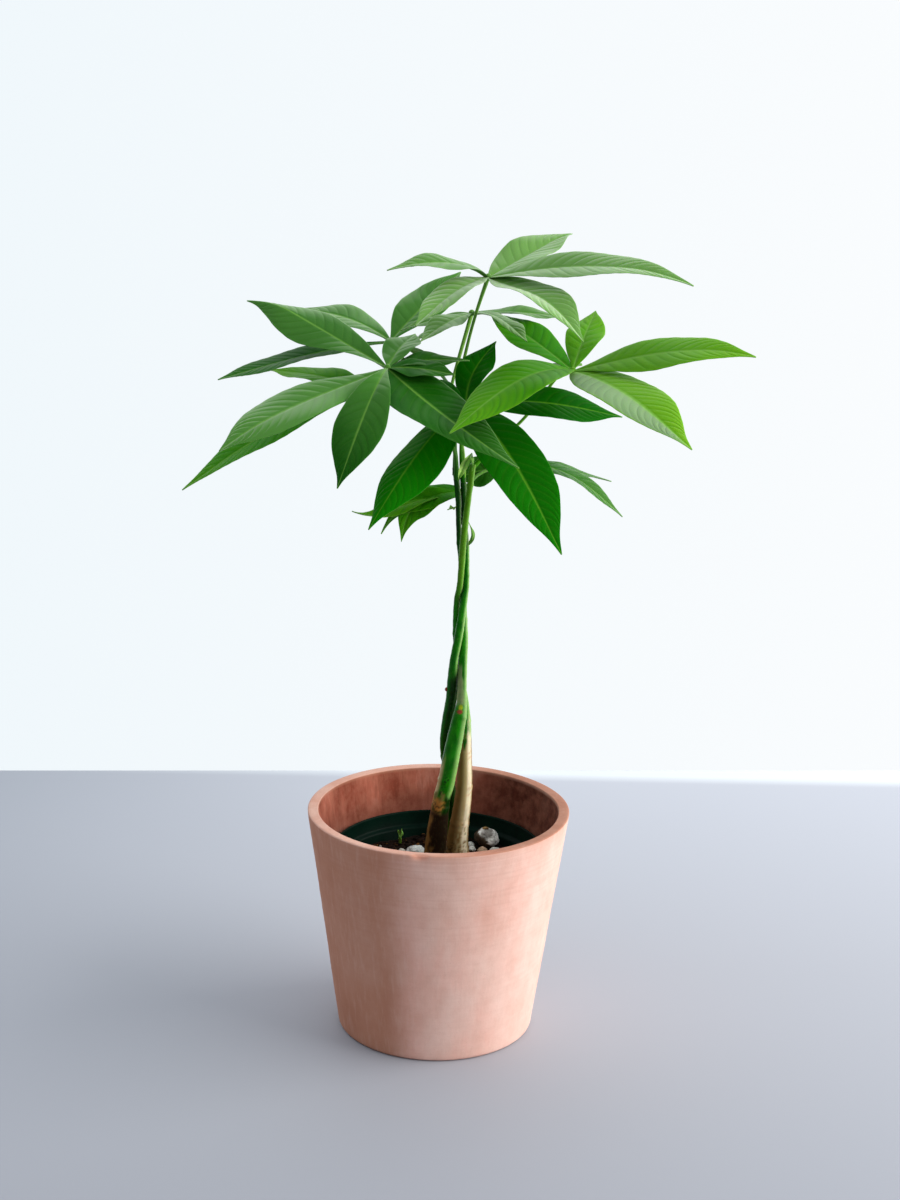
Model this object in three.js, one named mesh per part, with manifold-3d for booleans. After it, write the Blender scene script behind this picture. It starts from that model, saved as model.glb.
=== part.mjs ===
// A money tree: three thin trunks twisted together in a green nursery pot of soil,
// which stands inside a plain terracotta pot. Millimetres, +Z up, origin at the middle
// of the terracotta pot's underside, the side seen first facing -Y.
import * as THREE from 'three';
import { mergeVertices } from 'three/addons/utils/BufferGeometryUtils.js';
import Module from 'manifold-3d';

const wasm = await Module();
wasm.setup();

// Terracotta pot
const POT_HEIGHT = 130;
const POT_RIM_RADIUS = 74;
const POT_BASE_RADIUS = 56;
const POT_WALL = 6;
const POT_FLOOR = 8;
const POT_SEGMENTS = 52;

// Thin plastic nursery pot inside it
const NURSERY_TOP = 106;
const NURSERY_RIM_RADIUS = 60;
const NURSERY_BASE_RADIUS = 41.8;
const NURSERY_WALL = 1.2;
const NURSERY_FLOOR = 1.5;
const NURSERY_LEDGE = 97.2;
const NURSERY_SEGMENTS = 44;

// Soil
const SOIL_TOP = 92;
const SOIL_SEGMENTS = 36;
const STEM_SEAT = 84;
const CLEARANCE = 0.3;

// Leaves
const BLADE_THICKNESS = 0.7;
const EDGE_WAVE = 1.2;
const WAVES = 1.6;
const EDGE_CURL = 0.1;
const DROOP_START = 0.7;
const GOLDEN_ANGLE = 2.399963;
const PETIOLE_RADIUS = 0.95;
const JUNCTION_RADIUS = 1.9;

// Half-width of a leaflet along its length, as a share of its widest half-width
const OUTLINE = [
  [0, 0.03],
  [0.08, 0.24],
  [0.22, 0.62],
  [0.38, 0.9],
  [0.52, 1],
  [0.68, 0.86],
  [0.82, 0.52],
  [0.93, 0.17],
  [1, 0.03],
];

// Trunks from the crown down into the soil: x, y, z, radius
const TRUNKS = {
  stem_1: [
    [10, 3, 320, 1.7],
    [10.8, 3.5, 308, 1.6],
    [11, 3.5, 297, 1.6],
    [12.5, 2.6, 283, 1.65],
    [12.9, 1, 269, 1.65],
    [12.9, 0, 260, 1.7],
    [11.9, -1.5, 252, 1.95],
    [10.5, -3, 241, 2.2],
    [9, -3.5, 230, 2.3],
    [7, -3, 218, 2.3],
    [6.5, 0.6, 206, 2.9],
    [6, 2.5, 194, 3.1],
    [4.2, 5, 181, 3.1],
    [2.8, 7, 168, 2.8],
    [3.6, 9, 158, 2.9],
    [6, 12, 143, 3],
    [8, 14.5, 110, 3.1],
    [8.5, 15, 92, 3.2],
    [8.5, 15, STEM_SEAT, 3.2],
  ],
  stem_2: [
    [5.5, 1, 326, 1.6],
    [6.4, 1, 320, 1.6],
    [7.6, 1.5, 308, 1.5],
    [8, 1.6, 297, 1.45],
    [8.8, 2.2, 283, 1.45],
    [10.4, 3.2, 269, 1.55],
    [11.4, 3.4, 251, 1.9],
    [11.8, 2.5, 240, 2.2],
    [12.2, 1, 229, 2.5],
    [12, -0.5, 218, 2.5],
    [11.9, -2, 206, 2.5],
    [11.8, -4, 198, 2.7],
    [11.7, -5.5, 192, 3.1],
    [10.8, -7.5, 187, 3.8],
    [8.4, -9, 174, 4.5],
    [6.3, -9.5, 162, 4.7],
    [4.3, -9.5, 150, 4.75],
    [1.6, -9.5, 138, 4.9],
    [0.2, -9.5, 126, 5.4],
    [-0.7, -9.5, 117, 5.9],
    [-2.2, -9.5, 100, 6.1],
    [-3.2, -9.5, STEM_SEAT, 6.2],
  ],
  stem_3: [
    [15.2, -3, 329, 1.7],
    [14.1, -3.5, 319, 1.6],
    [12.9, -3.5, 308, 1.65],
    [11.8, -3.5, 297, 1.75],
    [10.7, -3, 284, 1.9],
    [10, -1.8, 269, 1.75],
    [9.4, -0.8, 260, 1.7],
    [8.1, 0.3, 252, 1.7],
    [7.7, 1, 240, 1.7],
    [8.1, 3.5, 228, 1.8],
    [10, 5.2, 216, 2.1],
    [11, 5.2, 205, 2.4],
    [11.8, 4.6, 199, 2.5],
    [12.9, 3.8, 193, 2.7],
    [14.2, 3, 181, 3],
    [14.4, 3, 169, 3.5],
    [14.5, 3, 157, 3.9],
    [14.5, 3, 145, 4.4],
    [13.7, 3, 133, 4.9],
    [12.3, 3, 121, 5.3],
    [11.4, 3, 112, 5.8],
    [11, 3, 100, 6.1],
    [11, 3, STEM_SEAT, 6.3],
  ],
};

// Leaves: the petiole's path, the junction where its leaflets meet, and the leaflets as
// [azimuth, pitch, length, width, bow, roll, fold, sway, peak, skew, twist, tip, unfold].
// Angles are in degrees; bow, sway and tip (the droop of the tip) are shares of the length.
// Peak moves the bow and skew moves the widest place along the leaflet; twist and unfold
// are added to the roll and the fold by the time the tip is reached.
const LEAVES = {
  leaf_a: {
    color: 0x64894f,
    path: [[5.5, 1, 322], [5.4, 2, 345], [6.3, 5, 368], [10.2, 12, 388], [14.9, 3.4, 409]],
    junction: [21, -5, 430],
    leaflets: [
      [-148, 7, 62, 20, 0.09, 15, 10, 0, 0.75, 0.75, 0, 0.02],
      [48, 17, 72, 28, 0, -10, 18, 0, 0.85, 0.9, 0, 0.03],
      [-22, 3.5, 112, 31, 0.05, -18, 12, 0, 1, 0.85, 0, 0.04],
      [-51, -18, 80, 30, 0.09, -10, 18, 0, 1.3, 0.9, 14],
      [-121, -14, 74, 22, 0.05, 2, 16, 0, 0.85, 0.9],
    ],
  },
  leaf_b: {
    color: 0x4d7a44,
    path: [[6.3, 0.2, 320], [5.7, -2.6, 331], [2.5, -6, 344], [-8.5, -14, 360], [-20, -21.5, 373]],
    junction: [-31, -25, 384],
    leaflets: [
      [150, 22, 94, 30, 0, 22, 34, 0, 0.85, 1.1, 0, 0.08, -72],
      [-148, -19, 104, 38, 0.025, 12, 6, 0, 1.3, 1.2, 0, 0.02],
      [-110, -38, 84, 28, 0.12, 18, 24, -0.04, 0.85, 1.2, -30, 0, -30],
      [-46, -21, 105, 41, -0.02, -9, 8, 0, 0.85, 0.58],
      [20, 3, 46, 16, 0.05, -16],
      [-10, -3, 36, 20, 0.04, -20],
      [70, 18, 42, 20, 0.06, 0],
    ],
  },
  leaf_c: {
    color: 0x629632,
    path: [[15, -3, 327], [27, 3, 339], [40, 8, 350], [51, 14, 362], [60, 11, 375]],
    junction: [67, -10, 382],
    leaflets: [
      [130, 19, 74, 26, 0.02, 10, 10],
      [75, 24, 62, 21, 0.04, 0, 4, 0, 0.85, 1.1],
      [-20, 10, 99, 34, 0.045, -22, 6, 0, 1.1, 1, 0, 0.03],
      [-59, -12.5, 109, 40, 0.055, -5, 8, 0, 0.9, 0.78],
      [-131, -12, 101, 37, 0.09, 6, 18, 0, 0.8, 0.75, 0, 0, -26],
      [100, -12, 40, 20, 0.1, 0],
    ],
  },
  leaf_d: {
    color: 0x5d8450,
    path: [[10.2, 3.6, 316], [10.4, 8.5, 328], [8.5, 12, 340], [4.5, 15, 353], [2.7, 18, 367]],
    junction: [13, 25, 407],
    leaflets: [
      [-61, -7, 60, 18, 0.08, 8],
      [20, -4, 60, 16, 0.03, -10],
      [-176, -14, 40, 12, 0.04, 8],
      [-119, -9, 56, 16, 0.04, 8, 12],
      [-150, -20, 38, 18, 0.02, -14],
    ],
  },
  leaf_e: {
    color: 0x1f6c12,
    path: [[10, 2.6, 318], [8.6, 0, 331], [8.6, -7, 343], [9.8, -14, 355]],
    junction: [11, -20, 365],
    leaflets: [
      [-60, -32, 114, 38, 0.06, -4, 10, 0, 0.85, 0.85],
      [68, 34, 50, 20, 0.02, 0, 10, -0.08],
      [-125, -32, 100, 31, 0.06, 6, -14, 0, 0.85, 0.9],
      [21, -7, 92, 30, 0.045, -28, 6],
      [150, 3, 54, 24, 0.1, 10],
    ],
  },
  leaf_f: {
    color: 0x4a7741,
    path: [[7.4, 2, 310], [7, 6, 322], [5.5, 8, 335], [2, 11, 346], [-6.6, 14, 359], [-18.4, 20, 374]],
    junction: [-31, 25, 391],
    leaflets: [
      [150, 11, 66, 30, 0.07, 8],
      [-156, -9.5, 100, 27, 0.025, 6, 10, 0, 0.85, 1.2],
      [54, 27, 72, 31, 0.02, -6],
      [-25, -32, 49, 22, 0.08, 30],
      [-8, -27, 35, 14, 0.05, 20],
    ],
  },
  leaf_k: {
    color: 0x4d8238,
    path: [
      [6.2, 2, 319], [5.4, 4.7, 331], [2.5, 6, 342],
      [-7, 7, 355], [-19.6, 8, 363], [-30.5, 9, 366.6],
    ],
    junction: [-40, 10, 365],
    leaflets: [
      [-162, -25, 116, 28, 0.06, 12, 10, 0, 0.85, 1.1],
      [150, 5, 68, 26, 0.04, 10],
      [80, -10, 52, 24, 0.1, 0],
    ],
  },
  leaf_h: {
    color: 0x3c7326,
    path: [[10.5, 3.3, 313], [17, 12, 319], [24, 17, 322]],
    junction: [29, 20, 322],
    leaflets: [
      [-10, -18, 74, 20, 0.16, -8],
      [16, -8, 68, 16, 0.06, -6],
      [-170, -12, 24, 20, 0.05, 50, 5, 0, 0.85, 0.75],
    ],
  },
  leaf_g: {
    color: 0x5f9a3c,
    path: [[8.3, 1.7, 292], [8.2, 7, 300], [9.6, 12.5, 306]],
    junction: [11, 16, 309],
    leaflets: [
      [-160, -16, 52, 19, 0.1, 25, 8, 0, 0.8, 0.65, 0, 0.12],
      [-156, -17, 43, 17, 0.1, 20, 12, 0, 0.8, 1.4, 45, 0.3],
      [-156, -12, 66, 12, 0.05, 15, 10, 0, 0.85, 1.3, 0, -0.13],
    ],
  },
};

// Lumps lying in the soil: x, y, z of the middle, radius, height share, colour
const STONES = [
  [28.6, 35.8, 98.2, 7.4, 0.76, 0xb9b8b2],
  [-13, 17, 95.2, 5.7, 0.8, 0xd9dcd8],
  [19, 34, 93.6, 2.5, 0.9, 0xe2e2dc],
  [20, 29, 93.2, 2.1, 0.9, 0xe2e2dc],
  [26, 26.6, 93.4, 2.9, 0.8, 0xd2b79a],
  [33, 27, 93.4, 3, 0.8, 0xe0ddd4],
  [-21, 24, 93.2, 2.1, 0.8, 0xd6d2c6],
  [4, -32, 93.6, 3.8, 0.75, 0xc9c6bd],
  [-30, -20, 93.4, 3.2, 0.8, 0xd9dcd8],
  [36, -22, 93.8, 4.3, 0.75, 0xcfc4b4],
];

// Small growths on the trunks: a stalk with a drooping leaf at the crown, a sprig, a cut stub
const SHOOTS = {
  stem_2: [
    [[7.6, 1.5, 305], [-150, -12, 7, 2.4, 0, 0]],
  ],
  stem_3: [
    [[15, -3.9, 326], [-100, 77, 10.5, 1.6, 0, 0]],
    [[14.6, -5.7, 335.8], [-158, -62, 17, 5, 0.05, 70, 35]],
    [[13.2, -2.6, 298], [0, -91, 15, 2.4, 0.2, 80, 10, 0, 1.2, 1.8]],
  ],
};

function matte(color, roughness) {
  return new THREE.MeshStandardMaterial({ color, roughness, metalness: 0 });
}

// A closed three.js geometry as a solid with its faces turned outwards
function solidOf(geometry) {
  const bare = geometry.clone();
  bare.deleteAttribute('normal');
  bare.deleteAttribute('uv');
  const merged = mergeVertices(bare, 1e-4);
  const points = merged.attributes.position.array;
  const corners = merged.index.array;
  const kept = [];
  let volume = 0;
  const [a, b, c] = [new THREE.Vector3(), new THREE.Vector3(), new THREE.Vector3()];
  for (let i = 0; i < corners.length; i += 3) {
    const [p, q, r] = [corners[i], corners[i + 1], corners[i + 2]];
    if (p === q || q === r || r === p) continue;
    kept.push(p, q, r);
    a.fromArray(points, p * 3);
    b.fromArray(points, q * 3);
    c.fromArray(points, r * 3);
    volume += a.dot(b.cross(c));
  }
  if (volume < 0) kept.reverse();
  return new wasm.Manifold(new wasm.Mesh({
    numProp: 3,
    vertProperties: new Float32Array(points),
    triVerts: new Uint32Array(kept),
  }));
}

function geometryOf(solid) {
  const mesh = solid.getMesh();
  const geometry = new THREE.BufferGeometry();
  geometry.setAttribute('position', new THREE.BufferAttribute(mesh.vertProperties, 3));
  geometry.setIndex(new THREE.BufferAttribute(mesh.triVerts, 1));
  geometry.computeVertexNormals();
  return geometry;
}

function geometryFrom(points, corners) {
  const geometry = new THREE.BufferGeometry();
  geometry.setAttribute('position', new THREE.Float32BufferAttribute(points, 3));
  geometry.setIndex(corners);
  return geometry;
}

// A profile of [radius, height] pairs turned about +Z
function turned(profile, segments) {
  const outline = profile.map(([radius, height]) => new THREE.Vector2(radius, height));
  return new THREE.LatheGeometry(outline, segments).rotateX(Math.PI / 2);
}

// A round stalk through points [x, y, z, radius], grown outwards by a clearance
function stalk(points, sides, steps, grow = 0) {
  const centres = points.map((p) => new THREE.Vector3(p[0], p[1], p[2]));
  const curve = new THREE.CatmullRomCurve3(centres, false, 'catmullrom', 0.5);
  const rings = steps * (points.length - 1);
  const across = new THREE.Vector3(1, 0, 0);
  const vertices = [];
  const corners = [];
  for (let i = 0; i <= rings; i += 1) {
    const u = i / rings;
    const centre = curve.getPoint(u);
    const along = curve.getTangent(u);
    across.addScaledVector(along, -across.dot(along)).normalize();
    const other = new THREE.Vector3().crossVectors(along, across);
    const place = Math.min(u * (points.length - 1), points.length - 1.000001);
    const near = Math.floor(place);
    const radius = THREE.MathUtils.lerp(points[near][3], points[near + 1][3], place - near) + grow;
    for (let j = 0; j < sides; j += 1) {
      const turn = (2 * Math.PI * j) / sides;
      const spot = centre.clone()
        .addScaledVector(across, radius * Math.cos(turn))
        .addScaledVector(other, radius * Math.sin(turn));
      vertices.push(spot.x, spot.y, spot.z);
    }
  }
  for (let i = 0; i < rings; i += 1) {
    for (let j = 0; j < sides; j += 1) {
      const k = (j + 1) % sides;
      const [a, b] = [i * sides + j, i * sides + k];
      const [c, d] = [a + sides, b + sides];
      corners.push(a, b, d, a, d, c);
    }
  }
  const last = rings * sides;
  for (let j = 1; j < sides - 1; j += 1) {
    corners.push(0, j + 1, j);
    corners.push(last, last + j, last + j + 1);
  }
  return solidOf(geometryFrom(vertices, corners));
}

// One leaflet: a thin blade folded along its midrib, bowed, with softly waved edges
function leaflet(start, spec, index) {
  const [azimuth, pitch, length, width, bow, roll, fold = 10, sway = 0, peak = 0.85] = spec;
  const [skew = 1, twist = 0, tip = 0, unfold = 0] = spec.slice(9);
  const [az, el] = [THREE.MathUtils.degToRad(azimuth), THREE.MathUtils.degToRad(pitch)];
  const along = new THREE.Vector3(
    Math.cos(el) * Math.cos(az), Math.cos(el) * Math.sin(az), Math.sin(el));
  const right = new THREE.Vector3(Math.sin(az), -Math.cos(az), 0);
  const up = new THREE.Vector3().crossVectors(right, along);
  const vertices = [];
  const columns = 3;
  const rows = OUTLINE.length;
  for (const face of [0.5, -0.5]) {
    OUTLINE.forEach(([place, share]) => {
      const t = place ** (1 / skew);
      const s = Math.max(t, 0.001);
      const end = Math.max(0, t - DROOP_START) / (1 - DROOP_START);
      const turn = THREE.MathUtils.degToRad(roll + twist * t);
      const crease = THREE.MathUtils.degToRad(fold + unfold * t);
      const arch = Math.sin(Math.PI * s ** peak);
      const slope = Math.PI * peak * s ** (peak - 1) * Math.cos(Math.PI * s ** peak);
      const rib = new THREE.Vector3(...start)
        .addScaledVector(along, length * t)
        .addScaledVector(up, length * (bow * arch - tip * end ** 2))
        .addScaledVector(right, length * sway * arch);
      const tangent = along.clone()
        .addScaledVector(up, bow * slope - (2 * tip * end) / (1 - DROOP_START))
        .addScaledVector(right, sway * slope)
        .normalize();
      const flat = new THREE.Vector3().crossVectors(tangent, up).normalize();
      const high = new THREE.Vector3().crossVectors(flat, tangent);
      const side = flat.clone().multiplyScalar(Math.cos(turn)).addScaledVector(high, Math.sin(turn));
      const normal = high.multiplyScalar(Math.cos(turn)).addScaledVector(flat, -Math.sin(turn));
      const half = 0.5 * width * share;
      for (let j = 0; j < columns; j += 1) {
        const edge = j - 1;
        const phase = index * GOLDEN_ANGLE + (edge > 0 ? 2 : 0);
        const wave = EDGE_WAVE * share * Math.abs(edge) * Math.sin(2 * Math.PI * WAVES * t + phase);
        const cup = half * Math.abs(edge) * (Math.sin(crease) - EDGE_CURL);
        const lift = cup + wave + face * BLADE_THICKNESS;
        const spot = rib.clone()
          .addScaledVector(side, half * edge * Math.cos(crease))
          .addScaledVector(normal, lift);
        vertices.push(spot.x, spot.y, spot.z);
      }
    });
  }
  const corners = [];
  const under = rows * columns;
  const quad = (a, b, c, d) => corners.push(a, b, c, a, c, d);
  for (let i = 0; i < rows - 1; i += 1) {
    const a = i * columns;
    const e = a + columns;
    quad(a, a + 1, e + 1, e);
    quad(a + 1, a + 2, e + 2, e + 1);
    corners.push(under + a, under + e + 1, under + a + 1, under + a, under + e, under + e + 1);
    corners.push(under + a + 1, under + e + 2, under + a + 2);
    corners.push(under + a + 1, under + e + 1, under + e + 2);
    quad(a, e, under + e, under + a);
    quad(a + 2, under + a + 2, under + e + 2, e + 2);
  }
  const z = (rows - 1) * columns;
  for (const j of [0, 1]) {
    quad(j, under + j, under + j + 1, j + 1);
    quad(z + j, z + j + 1, under + z + j + 1, under + z + j);
  }
  return solidOf(geometryFrom(vertices, corners));
}

// The wanted piece of a cut solid is its largest one
function largest(solid) {
  const pieces = solid.decompose();
  pieces.sort((one, two) => two.volume() - one.volume());
  return pieces[0];
}

const tree = new THREE.Group();

function addPiece(name, solid, material) {
  const mesh = new THREE.Mesh(geometryOf(solid), material);
  mesh.name = name;
  tree.add(mesh);
}

// Terracotta pot: straight flared wall, flat thick rim with softened edges
const innerRim = POT_RIM_RADIUS - POT_WALL;
const innerBase = POT_BASE_RADIUS - POT_WALL + 0.5;
const pot = turned([
  [0, 0],
  [POT_BASE_RADIUS - 2.6, 0],
  [POT_BASE_RADIUS - 0.7, 0.8],
  [POT_BASE_RADIUS + 0.2, 2.6],
  [POT_RIM_RADIUS - 0.3, POT_HEIGHT - 2.4],
  [POT_RIM_RADIUS - 0.4, POT_HEIGHT - 0.9],
  [POT_RIM_RADIUS - 1.4, POT_HEIGHT],
  [innerRim + 1.4, POT_HEIGHT],
  [innerRim + 0.2, POT_HEIGHT - 0.9],
  [innerRim, POT_HEIGHT - 2.4],
  [innerBase, POT_FLOOR + 4],
  [innerBase - 1.6, POT_FLOOR + 1],
  [innerBase - 4, POT_FLOOR],
  [0, POT_FLOOR],
], POT_SEGMENTS);
addPiece('terracotta_pot', solidOf(pot), matte(0xbf9584, 0.9));

// Nursery pot: thin tapered wall under a wider rim band, with a ledge inside
const seat = POT_FLOOR;
const innerFloor = seat + NURSERY_FLOOR;
const bandFoot = NURSERY_LEDGE - 3.2;
const innerLedge = 54.6;
const nursery = turned([
  [0, seat],
  [NURSERY_BASE_RADIUS - 1.3, seat],
  [NURSERY_BASE_RADIUS, seat + 1.2],
  [innerLedge + NURSERY_WALL, bandFoot],
  [NURSERY_RIM_RADIUS - 1, bandFoot + 0.4],
  [NURSERY_RIM_RADIUS, bandFoot + 1.2],
  [NURSERY_RIM_RADIUS, NURSERY_TOP - 0.8],
  [NURSERY_RIM_RADIUS - 0.6, NURSERY_TOP],
  [NURSERY_RIM_RADIUS - 1.2, NURSERY_TOP],
  [NURSERY_RIM_RADIUS - 1.6, NURSERY_TOP - 0.6],
  [NURSERY_RIM_RADIUS - 2.4, NURSERY_LEDGE + 1.2],
  [innerLedge + 0.6, NURSERY_LEDGE],
  [innerLedge, NURSERY_LEDGE - 1.7],
  [NURSERY_BASE_RADIUS - NURSERY_WALL, innerFloor],
  [0, innerFloor],
], NURSERY_SEGMENTS);
addPiece('nursery_pot', solidOf(nursery), matte(0x13201a, 0.45));

// Soil: a tapered plug with a gently uneven top
const wallSlope = (innerLedge - NURSERY_BASE_RADIUS + NURSERY_WALL) / (NURSERY_LEDGE - 1.7 - innerFloor);
const soilFoot = NURSERY_BASE_RADIUS - NURSERY_WALL - CLEARANCE - 0.3;
const soilEdge = soilFoot + wallSlope * (SOIL_TOP - innerFloor);
const soilProfile = [[0, innerFloor], [soilFoot, innerFloor], [soilEdge, SOIL_TOP - 1.5]];
for (const share of [0.96, 0.87, 0.75, 0.6, 0.45, 0.3, 0.15, 0]) {
  soilProfile.push([soilEdge * share, SOIL_TOP]);
}
const ground = turned(soilProfile, SOIL_SEGMENTS);
const spots = ground.attributes.position;
for (let i = 0; i < spots.count; i += 1) {
  const [x, y] = [spots.getX(i), spots.getY(i)];
  if (spots.getZ(i) > SOIL_TOP - 0.1) {
    const roll = 0.8 * Math.sin(0.23 * x + 1.3) * Math.cos(0.19 * y + 0.4);
    spots.setZ(i, SOIL_TOP + roll + 0.5 * Math.sin(0.11 * x - 0.27 * y + 2.1));
  }
}
let soil = solidOf(ground);

// Trunks, and the room they need in the soil and beside the leaf stalks
const bark = {
  stem_1: matte(0x3d8a22, 0.5),
  stem_2: matte(0x4f6a2a, 0.6),
  stem_3: matte(0x8a8460, 0.65),
};
const room = [];
for (const [name, points] of Object.entries(TRUNKS)) {
  let trunk = stalk(points, 10, 2);
  (SHOOTS[name] || []).forEach(([start, spec], index) => {
    trunk = trunk.add(leaflet(start, spec, index));
  });
  addPiece(name, trunk, bark[name]);
  const around = stalk(points, 10, 2, CLEARANCE);
  soil = soil.subtract(around);
  room.push(around);
}

// Stones, each resting in a dent a little larger than itself
STONES.forEach(([x, y, z, radius, squash, color], index) => {
  const ball = new THREE.IcosahedronGeometry(1, radius > 3.5 ? 1 : 0);
  const lump = mergeVertices(ball.deleteAttribute('normal').deleteAttribute('uv'));
  const at = lump.attributes.position;
  for (let i = 0; i < at.count; i += 1) {
    const swell = radius * (1 + 0.04 * Math.sin(2.7 * i + 1.9 * index));
    at.setXYZ(i, at.getX(i) * swell, at.getY(i) * swell, at.getZ(i) * swell * squash);
  }
  lump.rotateZ(index * GOLDEN_ANGLE);
  let foot = 0;
  for (let i = 1; i < at.count; i += 1) {
    if (at.getZ(i) < at.getZ(foot)) foot = i;
  }
  const [fx, fy, fz] = [at.getX(foot), at.getY(foot), at.getZ(foot)];
  const dent = lump.clone().translate(-fx, -fy, -fz).scale(1.1, 1.1, 1.1);
  soil = soil.subtract(solidOf(dent.translate(x + fx, y + fy, z + fz)));
  addPiece(`stone_${index + 1}`, solidOf(lump.translate(x, y, z)), matte(color, 0.95));
});

// A seedling by the back wall, in a hole of its own
const SPROUT = [[-22.4, 38, 88, 0.8], [-22.4, 38, 93, 0.8], [-22.2, 38, 96, 0.7]];
soil = soil.subtract(stalk([...SPROUT.slice(0, 2), [-22.4, 38, 99, 0.8]], 6, 1, CLEARANCE));
const sprout = stalk(SPROUT, 6, 1)
  .add(leaflet([-22.2, 38, 95], [-60, 80, 7.5, 3, 0.05, 0, 20], 0))
  .add(leaflet([-22.2, 38, 95], [160, 76, 6, 2.6, 0.05, 0, 20], 1));
addPiece('seedling', sprout, matte(0x3f6a1c, 0.6));
addPiece('soil', soil, matte(0x2a1d16, 0.95));

// Leaves: a petiole, a small swelling at its end and the leaflets spreading from it
for (const [name, leaf] of Object.entries(LEAVES)) {
  const [x, y, z] = leaf.junction;
  const path = leaf.path.map(([px, py, pz]) => [px, py, pz, PETIOLE_RADIUS]);
  path[0][3] = 1.4;
  path.push([x, y, z, 1.3]);
  let whole = stalk(path, 6, 2);
  const swelling = new THREE.IcosahedronGeometry(JUNCTION_RADIUS, 0).translate(x, y, z);
  whole = whole.add(solidOf(swelling));
  leaf.leaflets.forEach((spec, index) => {
    whole = whole.add(leaflet(leaf.junction, spec, index));
  });
  for (const around of room) whole = whole.subtract(around);
  addPiece(name, largest(whole), matte(leaf.color, 0.5));
}

export default tree;
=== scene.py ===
import math
import bmesh
import bpy
import numpy as np
from mathutils import Matrix, Vector, noise


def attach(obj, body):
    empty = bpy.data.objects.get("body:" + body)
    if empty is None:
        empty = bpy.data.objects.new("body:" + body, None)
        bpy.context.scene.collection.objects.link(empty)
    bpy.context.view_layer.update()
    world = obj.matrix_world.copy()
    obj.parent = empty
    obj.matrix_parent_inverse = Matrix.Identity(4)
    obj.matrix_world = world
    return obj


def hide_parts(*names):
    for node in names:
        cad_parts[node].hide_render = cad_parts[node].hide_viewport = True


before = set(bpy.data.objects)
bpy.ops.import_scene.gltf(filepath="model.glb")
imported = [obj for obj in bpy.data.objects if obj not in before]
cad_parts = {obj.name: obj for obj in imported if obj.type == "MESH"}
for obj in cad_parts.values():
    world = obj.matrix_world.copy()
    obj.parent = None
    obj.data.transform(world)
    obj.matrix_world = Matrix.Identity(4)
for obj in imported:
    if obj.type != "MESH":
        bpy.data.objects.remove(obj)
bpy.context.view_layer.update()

MM = 0.001
rng = np.random.default_rng(7)
draw = rng.uniform
scene = bpy.context.scene

# Pots, in millimetres
POT_HEIGHT = 130.0
POT_RIM = 74.0
POT_BASE = 56.0
POT_WALL = 6.0
POT_FLOOR = 8.0
POT_SIDES = 400
FOOT_ROUND = 2.6
RIM_ROUND = 0.8
INNER_ROUND = 0.7
CHIP = (-9.6, -74.0, 130.0)
CHIP_REACH = 3.4
CHIP_DEPTH = 1.5

NURSERY_TOP = 106.0
NURSERY_RIM = 60.0
NURSERY_BASE = 41.8
NURSERY_LEDGE = 97.2
LEDGE_RADIUS = 54.6
NURSERY_ROUND = 0.85
NURSERY_SIDES = 240

SOIL_TOP = 92.0
SOIL_EDGE = 53.6
SOIL_ROUGH = 0.9
SOIL_SKIRT = 4
SOIL_RINGS = 90
SOIL_SIDES = 240
STEM_SEAT = 84.0

# Leaflets: the blade in millimetres
BLADE = 0.38
MIDRIB = 0.55
STALK_RIB = 0.9
SIDE_RIB = 0.12
GROOVE = 0.28
QUILT = 0.32
EDGE_WAVE = 1.2
EDGE_RIPPLE = 0.08
WAVES = 1.6
EDGE_CURL = 0.1
DROOP_START = 0.7
GOLDEN_ANGLE = 2.399963

# Side veins: millimetres apart, place in shares of the length, and degrees off the midrib
VEIN_STEP = 6.2
VEINED_SHARE = 0.84
VEIN_FIRST = 0.055
VEIN_LAST = 0.9
VEIN_CROWDING = 0.96
VEIN_ANGLE = 64
VEIN_CLOSING = 22
VEIN_BEND = 0.45
LEAD_POWER = 8

# Grid lines along the stalk's end, between two veins, at the tip, and from midrib to edge
STALK_CUTS = [0.0, 0.012, 0.026, 0.04]
VEIN_CUTS = [0.0, 0.07, 0.27, 0.5, 0.73, 0.93]
TIP_CUTS = [0.9, 0.915, 0.93, 0.945, 0.96, 0.975, 0.988, 1.0]
ACROSS_CUTS = [0.07, 0.17, 0.3, 0.45, 0.62, 0.78, 0.9, 0.97, 1]

# Half width of a leaflet along its length, and the values of a leaflet that doesn't give them
LEAFLET_USUAL = (0, 0, 80, 30, 0.08, 0, 10, 0, 0.85, 1, 0, 0, 0)
OUTLINE = [
    (0, 0.03), (0.08, 0.24), (0.22, 0.62), (0.38, 0.9), (0.52, 1),
    (0.68, 0.86), (0.82, 0.52), (0.93, 0.17), (1, 0.015),
]

# Leaf stalks and the knob where the leaflets meet
STALK_FOOT = 1.4
STALK_RADIUS = 0.88
STALK_END = 1.2
STALK_SIDES = 16
STALK_RINGS = 90
FRESH_STALKS = ("leaf_a", "leaf_d")
KNOB_RADIUS = 1.75
KNOB_LIFT = 0.25
# One leaflet gets a fixed pale sheen painted on one half, a painted reflection of the room, and its strength
FIXED_SHEEN_LEAFLET = ("leaf_c", 3)
FIXED_SHEEN_STRENGTH = 0.75

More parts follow.
